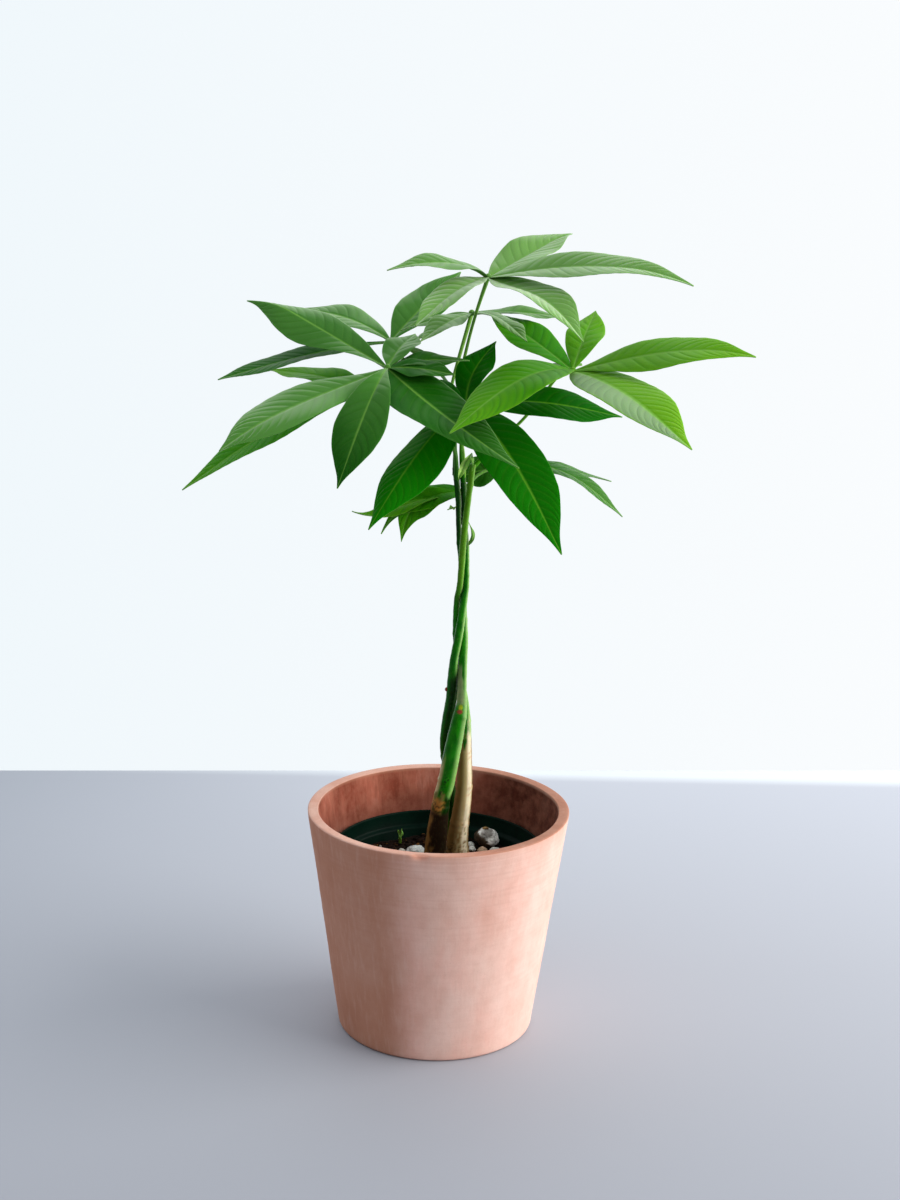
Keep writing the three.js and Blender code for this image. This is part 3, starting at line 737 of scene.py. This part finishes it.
# Colour of the fixed painted sheen, a painted reflection
FIXED_SHEEN_COLOUR = rgb(134, 160, 126)
LEAF_PATCHES = 0.36
LEAF_CELLS = 1400
LEAF_LOOKS = {
    "leaf_mid": dict(dark=rgb(30, 98, 14), light=rgb(110, 158, 80), sheen=1.0),
    "leaf_deep": dict(dark=rgb(2, 84, 0), light=rgb(84, 142, 60), sheen=0.9, shine=0.04),
    "leaf_fresh": dict(dark=rgb(44, 132, 0), light=rgb(122, 182, 26), sheen=0.6, sheen_colour=GRAZING_SHEEN_FRESH,
                       shine=0.04),
    "leaf_dark": dict(dark=rgb(0, 80, 0), light=rgb(8, 118, 0), sheen=0.25, sheen_colour=GRAZING_SHEEN_FRESH,
                      vein=VEIN_DARK, shine=0.02),
    "bud": dict(dark=rgb(44, 54, 6), light=rgb(96, 110, 20), sheen=0.0, sheen_colour=GRAZING_SHEEN_FRESH, gloss=0.5,
                shine=0.02),
    "pale": dict(dark=rgb(110, 164, 50), light=rgb(168, 206, 112), sheen=0.4),
}


def leaf_material(name, dark, light, sheen, sheen_colour=GRAZING_SHEEN, vein=VEIN_LIGHT, gloss=0.42, shine=0.06):
    """A waxy blade, painted paler where it is seen aslant, a painted sheen for the bright room's reflection;
    sheen is how strongly that shows, shine the specular level.
    """
    mat, tree, shader = material(
        name, gloss, Specular_IOR_Level=shine, Subsurface_Weight=0.12,
        Subsurface_Radius=(0.35, 1.0, 0.1), Subsurface_Scale=0.0012)
    vein_mask, light_mask, under_mask, free_of_fixed_sheen = tone_parts(tree)
    patch = noise_node(tree, "leaf")
    spread = math_node(tree, "MULTIPLY_ADD", patch, LEAF_PATCHES, -0.5 * LEAF_PATCHES)
    face = mix(tree, math_node(tree, "ADD", light_mask, spread, clamp=True), dark, light)
    cell = node(tree, "TexVoronoi", Vector=place_node(tree), Scale=LEAF_CELLS)
    face = coat(tree, face, cell.outputs["Distance"], 0.06, vein)
    face = coat(tree, face, math_node(tree, "POWER", vein_mask, 1.3), 0.8, vein)
    back = coat(tree, UNDERSIDE, vein_mask, 0.5, vein)
    skin = mix(tree, under_mask, face, back)
    # Painted sheen: the colour turns towards a pale tint where the blade is seen aslant, standing in for the
    # room's reflection
    weight = node(tree, "LayerWeight", Blend=0.5)
    graze = gate(tree, weight.outputs["Facing"], 0.45, 0.9)
    skin = coat(tree, skin, graze, times(tree, light_mask, sheen, clamp=True), sheen_colour)
    # The fixed painted sheen shows where the vertex alpha is below 1
    skin = mix(tree, math_node(tree, "SUBTRACT", 1.0, free_of_fixed_sheen), skin, FIXED_SHEEN_COLOUR)
    fill(tree, shader, Roughness=math_node(tree, "MULTIPLY_ADD", patch, 0.25, gloss - 0.12))
    finish(tree, shader, skin, noise_node(tree, "leaf_fine"), 0.25, 0.0002)
    return mat


def pot_material():
    """Chalky clay with turning lines outside and painted light on the rim's top, clay inside with painted
    shade on the right and low down, and fresh clay at the chip.
    """
    mat, tree, shader = material("terracotta", 0.9, Specular_IOR_Level=0.2)
    inside_and_rim_shade, fresh, chalk_and_rim_highlight, inner_shade = tone_parts(tree)
    broad = noise_node(tree, "clay")
    mottle = noise_node(tree, "mottle")
    streak = noise_node(tree, "streak")
    rings = noise_node(tree, "turning")
    base = mix(tree, chalk_and_rim_highlight, ramp(tree, broad, CLAY), ramp(tree, broad, CHALK))
    bare = math_node(tree, "SUBTRACT", 1.0, times(tree, chalk_and_rim_highlight, 0.4))
    patch = times(tree, gate(tree, mottle, 0.38, 0.56, flip=True), bare)
    base = coat(tree, base, patch, 0.2, CLAY_PATCH)
    line = times(tree, gate(tree, rings, 0.42, 0.55, flip=True), bare)
    upper = math_node(tree, "SUBTRACT", axes(tree)["Z"], LINES_FROM)
    upper = times(tree, upper, LINES_RISE, clamp=True)
    strength = math_node(tree, "ADD", times(tree, upper, LINES_MORE), LINES_LEAST)
    base = coat(tree, base, line, strength, CLAY_LINE)
    stroke = gate(tree, streak, 0.5, 0.68)
    base = coat(tree, base, stroke, 0.12, CLAY_STROKE)
    base = coat(tree, base, gate(tree, noise_node(tree, "speck"), 0.6, 0.7), 0.16, CLAY_SPECK)
    # Painted shade on the inner wall
    wall = mix(tree, inner_shade, ramp(tree, broad, INNER_CLAY), INNER_SHADE)
    wall = coat(tree, wall, gate(tree, mottle, 0.4, 0.62), 0.35, INNER_DRIP)
    wall = coat(tree, wall, stroke, 0.35, INNER_STROKE)
    face = mix(tree, fresh, mix(tree, inside_and_rim_shade, base, wall), CLAY_FRESH)
    height = math_node(tree, "ADD", times(tree, rings, 0.3), times(tree, mottle, 0.5))
    height = math_node(tree, "ADD", height, times(tree, streak, 0.35))
    finish(tree, shader, face, height, 0.4, 0.0007)
    return mat


def plastic_material():
    mat, tree, shader = material("green_plastic", 0.42, Specular_IOR_Level=0.05)
    face = ramp(tree, noise_node(tree, "dust"), PLASTIC)
    finish(tree, shader, face, noise_node(tree, "plastic"), 0.15, 0.0003)
    return mat


def soil_material():
    mat, tree, shader = material("potting_soil", 0.95, Specular_IOR_Level=0.1)
    grain = noise_node(tree, "soil")
    face = coat(tree, tone_node(tree)["Color"], grain, 0.8, SOIL_SHADE)
    finish(tree, shader, face, grain, 0.8, 0.0008)
    return mat


def pumice_material():
    mat, tree, shader = material("pumice", 0.95)
    pores = noise_node(tree, "pores")
    dirt = gate(tree, pores, 0.42, 0.56, flip=True)
    face = coat(tree, tone_node(tree)["Color"], dirt, 0.22, PUMICE_DIRT)
    face = coat(tree, face, gate(tree, noise_node(tree, "stain"), 0.54, 0.62), 0.75, PUMICE_STAIN)
    finish(tree, shader, face, pores, 0.8, 0.0012)
    return mat


def stem_material():
    mat, tree, shader = material(
        "stem_skin", 0.34, Specular_IOR_Level=0.12, Subsurface_Weight=0.1, Subsurface_Scale=0.001)
    fibre = noise_node(tree, "fibre")
    shade = ramp(tree, noise_node(tree, "bark"), BARK_SHADES)
    face = mix(tree, 0.6, tone_node(tree)["Color"], shade, "MULTIPLY")
    face = coat(tree, face, gate(tree, fibre, 0.56, 0.7), 0.1, BARK_SPECK)
    finish(tree, shader, face, fibre, 0.2, 0.0003)
    return mat


# Pots
def pot_outline():
    """The terracotta pot's profile from the middle of its foot, up over the rim, to its floor."""
    inner = POT_RIM - POT_WALL
    floor = POT_BASE - POT_WALL + 0.5
    outline = [(2, 0), (30, 0), (POT_BASE - 4, 0)]
    outline += arc(POT_BASE - FOOT_ROUND, FOOT_ROUND, FOOT_ROUND, -90, -8, 8)
    outline += straight(outline[-1], (POT_RIM, POT_HEIGHT - 1.6), np.linspace(0.03, 0.985, 60))
    outline += arc(POT_RIM - RIM_ROUND, POT_HEIGHT - RIM_ROUND, RIM_ROUND, 0, 80, 7)
    outline += near(POT_RIM, POT_HEIGHT, (-1.6, 0.02), (-3, 0)) + near(inner, POT_HEIGHT, (1.8, -0.1))
    outline += arc(inner + INNER_ROUND, POT_HEIGHT - 0.9, INNER_ROUND, 80, 180, 7)
    outline += straight((inner, POT_HEIGHT - 2.4), (floor, POT_FLOOR + 4), np.linspace(0, 1, 40))
    return outline + near(floor, POT_FLOOR, (-1.6, 1), (-4, 0)) + [(20, POT_FLOOR), (2, POT_FLOOR)]


def chip_gap(verts):
    """Distance from the chip in the rim, in shares of its reach."""
    return np.linalg.norm((verts - CHIP) * (0.62, 1, 1), axis=1) / CHIP_REACH


def worn(verts):
    """The wall's slight unevenness, and the chip."""
    radius = np.hypot(verts[:, 0], verts[:, 1])
    swell = 0.22 * fbm(verts * (1, 1, 0.6), 0.03, 2) + 0.1 * fbm(verts * (0.2, 0.2, 1), 0.22, 3)
    swell = swell * (radius > 25) * (verts[:, 2] > 1.5)
    verts[:, :2] *= (1 + swell / np.maximum(radius, 1))[:, None]
    bite = CHIP_DEPTH * np.clip(1 - chip_gap(verts)**2, 0, 1) * (0.75 + 0.5 * fbm(verts, 0.9, 3))
    verts[:, 2] -= bite
    verts[:, 1] += bite * 0.8
    return verts


def pot_piece():
    verts, faces = lathe(pot_outline(), POT_SIDES, worn)
    height = verts[:, 2]
    radius = np.hypot(verts[:, 0], verts[:, 1])
    wall = POT_BASE - POT_WALL + (height - POT_FLOOR) * (POT_RIM - POT_BASE) / POT_HEIGHT
    inside_and_rim_shade = ((radius < wall + 2.5) & (height > POT_FLOOR - 1)).astype(float)
    inside_and_rim_shade *= np.clip((POT_HEIGHT - 0.3 - height) / 1.5, 0, 1)
    fresh = 0.8 * np.clip(1.3 - 1.2 * chip_gap(verts), 0, 1)

    # The chalk starts a little left of the front and ends at the back; 0 degrees is the front
    angle = np.degrees(np.arctan2(verts[:, 0], -verts[:, 1])) + 2 * fbm(verts, 0.03, 3)
    right = np.sin(np.radians(angle))
    chalk_and_rim_highlight = 0.85 * step(-30, -7, angle) + 0.1 * step(-10, 22, angle)
    chalk_and_rim_highlight = chalk_and_rim_highlight * step(170, 120, angle) * (0.96 + 0.22 * fbm(verts * (1, 1, 0.5), 0.05, 3))
    # On the rim's top the paint runs from chalky pale on the left, a painted highlight, to darker inner clay
    # on the lit right, painted shade
    crown = (height > POT_HEIGHT - 0.6) * (inside_and_rim_shade < 0.5)
    lit = step(-0.3, 0.5, right)
    chalk_and_rim_highlight = chalk_and_rim_highlight * (1 - 0.35 * step(124, 129, height)) * (1 - crown) + (0.5 - 0.4 * lit) * crown
    inside_and_rim_shade = np.maximum(inside_and_rim_shade, 0.26 * lit * crown)
    # Painted shade inside: darker on the right, away from the window, and low down towards the nursery pot
    inner_shade = 0.85 * step(-0.1, 0.75, right - 0.15 * fbm(verts, 0.06, 3))
    inner_shade = np.maximum(inner_shade, 0.4 * step(119, 108, height + 4 * fbm(verts, 0.05, 3)))
    colours = tones(verts, inside_and_rim_shade, fresh, np.clip(chalk_and_rim_highlight, 0, 1), inner_shade)
    piece("pot_fine", [(verts, faces, colours)], pot_material(), ["terracotta_pot"])


def nursery_piece():
    foot = NURSERY_LEDGE - 3.2
    outline = [(2, POT_FLOOR)] + near(NURSERY_BASE, POT_FLOOR, (-1.3, 0), (-0.3, 0.4), (0, 1.2))
    outline += near(LEDGE_RADIUS, foot, (1.1, -0.4), (1.7, 0))
    outline += near(NURSERY_RIM, foot, (-1, 0.3), (-0.3, 0.7), (0, 1.4)) + [(NURSERY_RIM, NURSERY_TOP - 1.2)]
    outline += arc(NURSERY_RIM - NURSERY_ROUND, NURSERY_TOP - NURSERY_ROUND, NURSERY_ROUND, 0, 180, 10)
    outline += [(NURSERY_RIM - 1.8, NURSERY_TOP - 1.4)]
    outline += near(NURSERY_RIM, NURSERY_LEDGE, (-2.3, 1.2), (-2.8, 0.4))
    outline += near(LEDGE_RADIUS, NURSERY_LEDGE, (1.2, 0), (0.4, -0.3), (0, -1.2))
    outline += [(NURSERY_BASE - 1.2, POT_FLOOR + 1.5), (2, POT_FLOOR + 1.5)]
    verts, faces = lathe(outline, NURSERY_SIDES)
    piece("nursery_fine", [(verts, faces, tones(verts, 0, 0, 0))], plastic_material(),
          ["nursery_pot"])


# Soil and what lies in it
SOIL_DARK = rgb(14, 8, 6)
SOIL_LIGHT = rgb(44, 28, 19)
CRUMBS = 1150
LARGE_CRUMBS = 90
CRUMB_COLOURS = [rgb(18, 10, 6), rgb(40, 23, 13), rgb(82, 52, 28), rgb(140, 94, 44), rgb(200, 148, 76)]
CRUMB_SHARES = [0.34, 0.3, 0.2, 0.11, 0.05]
GRIT_SHARE = 0.05
GRIT_COLOUR = rgb(214, 208, 196)
EARTH_AND_SHADE = rgb(58, 38, 14)
FLAKE = rgb(184, 146, 88)


def soil_height(x, y):
    roll = 0.8 * np.sin(0.23 * x + 1.3) * np.cos(0.19 * y + 0.4)
    return SOIL_TOP + roll + 0.5 * np.sin(0.11 * x - 0.27 * y + 2.1)


def crumb(x, y, size, stretch, colour):
    turn = Matrix.Rotation(draw(0, 6.28), 3, "Z") @ Matrix.Rotation(draw(-0.7, 0.7), 3, "X")
    verts, faces = ball((0, 0, 0), 1.0, 1)
    verts = verts * (1 + 0.22 * np.sin(3.1 * verts[:, [1]] + draw(0, 6)) * np.cos(4.3 * verts[:, [2]]))
    verts = (verts * np.array(stretch) * size) @ np.array(turn)
    verts = verts + (x, y, soil_height(x, y) + size * stretch[2] * draw(-0.1, 0.7))
    return verts, faces, tones(verts, *colour)


def soil_piece():
    rings = np.linspace(0, 1, SOIL_RINGS) ** 0.8 * SOIL_EDGE
    turn = circle(SOIL_SIDES)
    x = (rings[:, None] * np.cos(turn)).ravel()
    y = (rings[:, None] * np.sin(turn)).ravel()
    rough = fbm(np.stack([x, y, np.zeros_like(x)], -1), 0.35, 5)
    verts = np.stack([x, y, soil_height(x, y) + SOIL_ROUGH * rough], -1)
    shade = np.clip(0.5 + 0.5 * rough, 0, 1)[:, None]
    colour = blend(SOIL_DARK, SOIL_LIGHT, shade)
    skirt = verts[-SOIL_SIDES:].copy()
    skirt[:, 2] -= SOIL_SKIRT
    faces = grid_faces(SOIL_RINGS, SOIL_SIDES, wrap=True)
    base = len(verts)
    ring = base - SOIL_SIDES
    for i in range(SOIL_SIDES):
        k = (i + 1) % SOIL_SIDES
        faces.append([ring + i, base + i, base + k, ring + k])
    chunks = [(np.concatenate([verts, skirt]), faces, np.concatenate([colour, colour[-SOIL_SIDES:]]))]
    feet = [points[-1] for points in TRUNKS.values()]
    placed = 0
    while placed < CRUMBS:
        radius = SOIL_EDGE * math.sqrt(draw(0, 0.96))
        angle = draw(0, 2 * math.pi)
        px, py = radius * math.cos(angle), radius * math.sin(angle)
        if any(math.hypot(px - tx, py - ty) < tr + 0.6 for tx, ty, _, tr in feet):
            continue
        size = draw(0.45, 1.5) if placed > LARGE_CRUMBS else draw(1.2, 2.4)
        colour = CRUMB_COLOURS[rng.choice(len(CRUMB_COLOURS), p=CRUMB_SHARES)]
        stretch = (draw(0.8, 2.2), draw(0.6, 1.1), draw(0.3, 0.8))
        if draw() < GRIT_SHARE:
            colour = GRIT_COLOUR
            stretch = (1, 1, 0.9)
            size = draw(0.4, 1.1)
        chunks.append(crumb(px, py, size, stretch, colour))
        placed += 1
    piece("soil_fine", chunks, soil_material(), ["soil"])


def stone_pieces():
    """Pitted lumps painted dark brown on their feet, as earth and painted shade; on the first the dark
    reaches up its left side, away from the window, as painted shade, and it bears a bark flake.
    """
    look = pumice_material()
    for index, (x, y, z, radius, squash) in enumerate(STONES):

        def shape(verts, seed=index):
            lumps = 0.2 * fbm(verts + seed * 7, 1.2, 4)
            pits = -0.05 * np.clip(fbm(verts + seed * 3, 5.0, 3), 0, 1)
            return 0.97 + lumps + pits

        verts, faces = ball((0, 0, 0), radius, 6 if index < 2 else 5, shape)
        # The first stone's dark paint leans to the left, painted shade on the side away from the window
        shade_lean = 0.75 if index == 0 else 0.1
        foot = -0.7 * verts[:, 2] - shade_lean * verts[:, 0]
        earth_and_shade = step(-0.2, 0.15, foot / radius + 0.3 * fbm(verts / radius, 2.4, 3))[:, None]
        verts = verts * (1, 1, squash) + (x, y, z)
        colour = blend(rgb(*STONE_COLOURS[index]), EARTH_AND_SHADE, earth_and_shade)
        chunks = [(verts, faces, tones(verts, *colour.T))]
        if index == 0:
            flake, flake_faces = ball((0, 0, 0), 1.0, 3)
            flake = flake * (1.9, 0.8, 0.9) + (x - 1, y - 1, z + 0.82 * radius)
            chunks.append((flake, flake_faces, tones(flake, *FLAKE)))
        piece(f"stone_fine_{index + 1}", chunks, look, [f"stone_{index + 1}"])


# Trunks
# Trunk paint colours; the pale right side and the third trunk's stripe are painted highlights, and the dark
# green also paints shade
TRUNK_COLOURS = {
    "deep": rgb(4, 44, 2), "shade": rgb(4, 98, 0), "green": rgb(30, 134, 4), "light": rgb(160, 206, 118),
    "olive": rgb(112, 112, 56), "tan": rgb(194, 174, 126), "painted_highlight": rgb(252, 240, 208),
    "bark": rgb(132, 100, 52), "brown": rgb(30, 20, 11), "ring": rgb(196, 132, 60),
    "lime": rgb(108, 164, 26), "scar": rgb(150, 62, 44), "bud": rgb(156, 176, 24),
    "grey": rgb(142, 158, 108),
}


def trunk_bumps(name):
    """Fine ridges, a swelling at each joint and the third trunk's flared foot."""
    def bumps(z, turn):
        out = 0.04 * np.sin(z * 0.9 + 2 * turn) + 0.02 * np.sin(z * 2.3 - turn)
        for k, level in enumerate(JOINTS[name]):
            swell = JOINT_SWELL * bell((z - level) / JOINT_REACH)
            out = out + swell * (0.55 + 0.45 * np.cos(turn - 2.4 * k))
        if name == "stem_3":
            out = out + ROOT_FLARE * step(112, 94, z)
        return out

    return bumps


def blot(verts, place, reach):
    """One at a place, falling to nothing at its reach along x, y and z."""
    gap = np.linalg.norm((verts - np.array(place)) / np.array(reach), axis=1)
    return 1 - step(0.5, 1.0, gap)


def trunk_layers(name, verts, side, rough):
    """Paint in order, as (strength at each point, colour); side runs from -1, left, to 1, right."""
    x, z = verts[:, 0], verts[:, 2]

    def zone(none, full, wavy=0, sides=None):
        """Where the trunk lies past a height, with a wavy border, and on one side."""
        mask = step(none, full, z + wavy * rough)
        return mask if sides is None else mask * step(*sides, side)

    # Every trunk starts with random darker green and a pale right side, a painted highlight from the window
    layers = [(0.55 + 0.9 * rough, "shade"), (0.75 * step(0.25, 0.95, side), "light")]
    if name == "stem_1":
        layers += [
            # Below the crossing the first trunk is painted dark over its middle and right, a painted shadow
            # of the second trunk, with a brighter green left edge
            (0.95 * zone(216, 204, sides=(-0.95, -0.1)), "deep"),
            (0.6 * zone(216, 204, sides=(-0.2, -0.8)), "shade"),
            # Painted shade under the leaves at the crown
            (0.7 * zone(272, 296), "deep"),
            (zone(120, 104, wavy=6), "bark"),
        ]
    if name == "stem_2":
        mottled = step(0.5, 0.2, np.abs(side + 0.15)) * step(0.0, 0.25, fbm(verts, 1.1, 3))
        layers += [
            (zone(168, 150, wavy=8, sides=(-0.5, -0.9)), "tan"),
            (zone(160, 148, wavy=9) * mottled, "deep"),
            (zone(144, 138, wavy=9, sides=(0.45, 0.0)), "olive"),
            (zone(141, 135, wavy=3, sides=(0.4, -0.2)), "bark"),
            # Painted shade: the right side just above the base is dark
            (zone(144, 139, wavy=4, sides=(0.1, 0.4)), "deep"),
            (zone(134, 130, wavy=2), "brown"),
            (0.85 * zone(132, 127) * step(-0.45, -0.9, side + 0.5 * rough), "bark"),
            # Painted shade under the leaves at the crown
            (0.7 * zone(262, 298), "deep"),
        ]
        for level, width, shade in LEAF_SCARS:
            ring = bell((z - level - 3.5 * rough + 0.3 * x) / width)
            layers.append((0.8 * ring * step(0.6, 0.0, side), shade))
        narrow = 0.7 - 0.03 * np.maximum(0, z - 196)
        patch = zone(192, 195) * zone(217, 213) * step(narrow, narrow - 0.4, side + 0.5 * rough)
        layers += [
            ((0.75 + 0.5 * rough) * patch, "grey"),
            (blot(verts, (11.3, -9, 192.6), (1.6, 3, 1.9)), "bud"),
            (blot(verts + 0.4 * rough[:, None], (10.8, -9.5, 190.2), (2.1, 3, 1.5)), "scar"),
        ]
    if name == "stem_3":
        # A cream stripe right of the middle is a painted highlight from the window
        streak = step(0.2, 0.45, side) * step(0.98, 0.84, side)
        # Bark spots thicken towards the left and the tan stops short of the left side: the darker left is
        # bark colour and partly painted shade beside the second trunk
        spots = step(-0.15, 0.3, fbm(verts * (1, 1, 0.4), 0.9, 3) - 0.35 * side)
        small = step(0.05, 0.35, fbm(verts * (1, 1, 0.5), 1.5, 3) - 0.3 * side)
        layers += [
            (0.6 * zone(245, 270), "lime"),
            (zone(176, 164, wavy=12), "bark"),
            (zone(176, 164, wavy=12, sides=(-0.6, 0.25)), "tan"),
            # Painted highlight stripe
            (0.85 * zone(182, 172, wavy=5) * streak, "painted_highlight"),
            (0.75 * zone(176, 166, sides=(0.8, 0.97)), "bark"),
            (0.9 * zone(136, 108, wavy=8) * spots, "bark"),
            (0.6 * zone(112, 98, wavy=6), "bark"),
            (0.75 * zone(114, 100, wavy=6) * small, "brown"),
        ]
        for level in TAN_RINGS:
            band = bell((z - level - 1.5 * rough) / 0.55) * step(0.1, 0.6, side)
            layers.append((0.4 * band, "ring"))
    return layers


def trunk_piece(name, look):
    verts, faces, centre = tube(TRUNKS[name], TRUNK_SIDES, TRUNK_RINGS, trunk_bumps(name))
    side = unit(verts - centre)[:, 0]
    rough = fbm(verts * (1, 1, 0.35), 0.35, 3)
    colour = np.repeat([TRUNK_COLOURS["green"]], len(verts), 0)
    for mask, shade in trunk_layers(name, verts, side, rough):
        colour = blend(colour, TRUNK_COLOURS[shade], np.clip(mask, 0, 1)[:, None])
    chunks = [(verts, faces, tones(verts, *colour.T))]
    if name == "stem_1":
        bud, bud_faces = ball(BUD, BUD_RADIUS, 3)
        chunks.append((bud, bud_faces, tones(bud, *TRUNK_COLOURS["scar"])))
    piece(f"{name}_fine", chunks, look, [name])


# Leaves and small growths
def leaf_piece(name, leaf, looks):
    junction = leaf["junction"]
    radii = [STALK_FOOT] + [STALK_RADIUS] * (len(leaf["path"]) - 1) + [STALK_END]
    path = [(*place, radius) for place, radius in zip([*leaf["path"], junction], radii)]
    verts, faces, _ = tube(path, STALK_SIDES, STALK_RINGS)
    grown = step(0.08, 0.45, np.repeat(np.linspace(0, 1, STALK_RINGS), STALK_SIDES))
    fresh = 0.1 + grown * (0.85 if name in FRESH_STALKS else 0.5)
    chunks = [(verts, faces, tones(verts, fresh, fresh, 0.0))]
    if name == "leaf_d":
        piece("leaf_d_stalk", chunks, looks["pale"], [])
        chunks = []
    knob, knob_faces = ball(junction, KNOB_RADIUS, 3)
    knob[:, 2] += KNOB_LIFT
    chunks.append((knob, knob_faces, tones(knob, 0.5, 0.6, 0.0)))
    for index, spec in enumerate(leaf["leaflets"]):
        fixed_sheen = FIXED_SHEEN_STRENGTH if (name, index) == FIXED_SHEEN_LEAFLET else 0.0
        chunks.append(leaflet(junction, spec, index, leaf["tints"][index], fixed_sheen))
    piece(f"{name}_fine", chunks, looks[leaf.get("skin", leaf["slot"])], [name])


def seedling_piece(looks):
    verts, faces, _ = tube(SEEDLING_STALK, 12, 20)
    chunks = [(verts, faces, tones(verts, 0.3, 0.4, 0))]
    for index, (spec, tint) in enumerate(SEEDLING_LEAVES):
        chunks.append(leaflet(SEEDLING_TOP, spec, index, tint, vein_step=SEEDLING_VEINS))
    piece("seedling_fine", chunks, looks["bud"], ["seedling"])


def shoot_piece(looks):
    chunks = [leaflet(start, spec, index, SHOOT_TINT, vein_step=SHOOT_VEINS)
              for index, (start, spec) in enumerate(SHOOTS)]
    piece("shoots_fine", chunks, looks["pale"], [])


# Floor, light and camera
# Painted light on the floor: darker near, brighter far with a bright far edge, and a painted shade to the
# left
FLOOR_PAINTED_LIGHT = [(0.0, rgb(158, 162, 172)), (0.45, rgb(172, 176, 186)),
                (0.975, rgb(191, 196, 207)), (1.0, rgb(226, 233, 240))]
FLOOR_PAINTED_SHADE = rgb(150, 157, 168)
WALL_LEFT = rgb(237, 246, 251)
WALL_RIGHT = rgb(253, 254, 255)
ROOM_GLOW = [(0.0, (0.11, 0.1, 0.09, 1)), (0.45, (0.22, 0.22, 0.22, 1)), (0.8, (1.0, 1.04, 1.08, 1))]
CEILING_GLOW = (1.15, 1.2, 1.26, 1)


def floor_stage():
    """A pale table whose far edge runs a little aslant, with painted light: darker near and towards the
    left, brighter far and at its far edge.
    """
    mesh = bpy.data.meshes.new("floor")
    corners = [(FLOOR_LEFT, FLOOR_NEAR, 0), (FLOOR_RIGHT, FLOOR_NEAR, 0)]
    corners += [(x, FLOOR_EDGE + FLOOR_SLANT * x, 0) for x in (FLOOR_RIGHT, FLOOR_LEFT)]
    mesh.from_pydata(corners, [], [(0, 1, 2, 3)])
    mat, tree, shader = material("floor", 0.6, Specular_IOR_Level=0.3)
    place = axes(tree)
    far = math_node(tree, "DIVIDE", math_node(tree, "ADD", place["Y"], 0.22), 0.64, clamp=True)
    left = times(tree, math_node(tree, "ADD", place["X"], 0.04), -3.0, clamp=True)
    shade = coat(tree, ramp(tree, far, FLOOR_PAINTED_LIGHT), times(tree, left, far), 0.8, FLOOR_PAINTED_SHADE)
    fill(tree, shader, Base_Color=shade)
    mesh.materials.append(mat)
    add_object("floor", mesh)


def window_light():
    data = bpy.data.lights.new("window", "AREA")
    data.shape = "RECTANGLE"
    data.size, data.size_y = WINDOW_SIZE
    data.energy = WINDOW_POWER
    data.color = WINDOW_COLOUR
    lamp = add_object("window", data)
    lamp.location = WINDOW_PLACE
    aim = Vector(WINDOW_AIM) - Vector(WINDOW_PLACE)
    lamp.rotation_euler = aim.to_track_quat("-Z", "Y").to_euler()


def room_light():
    """A bright pale wall behind and above, a dimmer room in front and at the left."""
    world = bpy.data.worlds.new("room")
    world.use_nodes = True
    tree = world.node_tree
    place = axes(tree, "Generated")
    depth = math_node(tree, "ADD", times(tree, place["Y"], 0.5), 0.5)
    lift = times(tree, math_node(tree, "MAXIMUM", place["Z"], 0.0), 0.7)
    glow = mix(tree, lift, ramp(tree, depth, ROOM_GLOW), CEILING_GLOW)
    side = math_node(tree, "ADD", times(tree, place["X"], 1.4), 0.5, clamp=True)
    wall = mix(tree, side, WALL_LEFT, WALL_RIGHT)
    path = node(tree, "LightPath")
    seen = mix(tree, path.outputs["Is Camera Ray"], glow, wall)
    fill(tree, tree.nodes["Background"], Color=seen)
    scene.world = world
    scene.view_settings.view_transform = "Standard"


def photo_camera():
    data = bpy.data.cameras.new("camera")
    data.sensor_fit = "AUTO"
    data.sensor_width = SENSOR_WIDTH
    data.lens = CAMERA_LENS
    camera = add_object("camera", data)
    tilt = Matrix.Rotation(math.radians(CAMERA_TILT), 4, "X")
    roll = Matrix.Rotation(math.radians(CAMERA_ROLL), 4, "Z")
    camera.matrix_world = Matrix.Translation(CAMERA_PLACE) @ (tilt @ roll)
    scene.camera = camera


pot_piece()
nursery_piece()
soil_piece()
stone_pieces()
stem_look = stem_material()
for stem in TRUNKS:
    trunk_piece(stem, stem_look)
leaf_looks = {name: leaf_material(name, **look) for name, look in LEAF_LOOKS.items()}
for name, leaf in LEAVES.items():
    leaf_piece(name, leaf, leaf_looks)
seedling_piece(leaf_looks)
shoot_piece(leaf_looks)
floor_stage()
window_light()
room_light()
photo_camera()
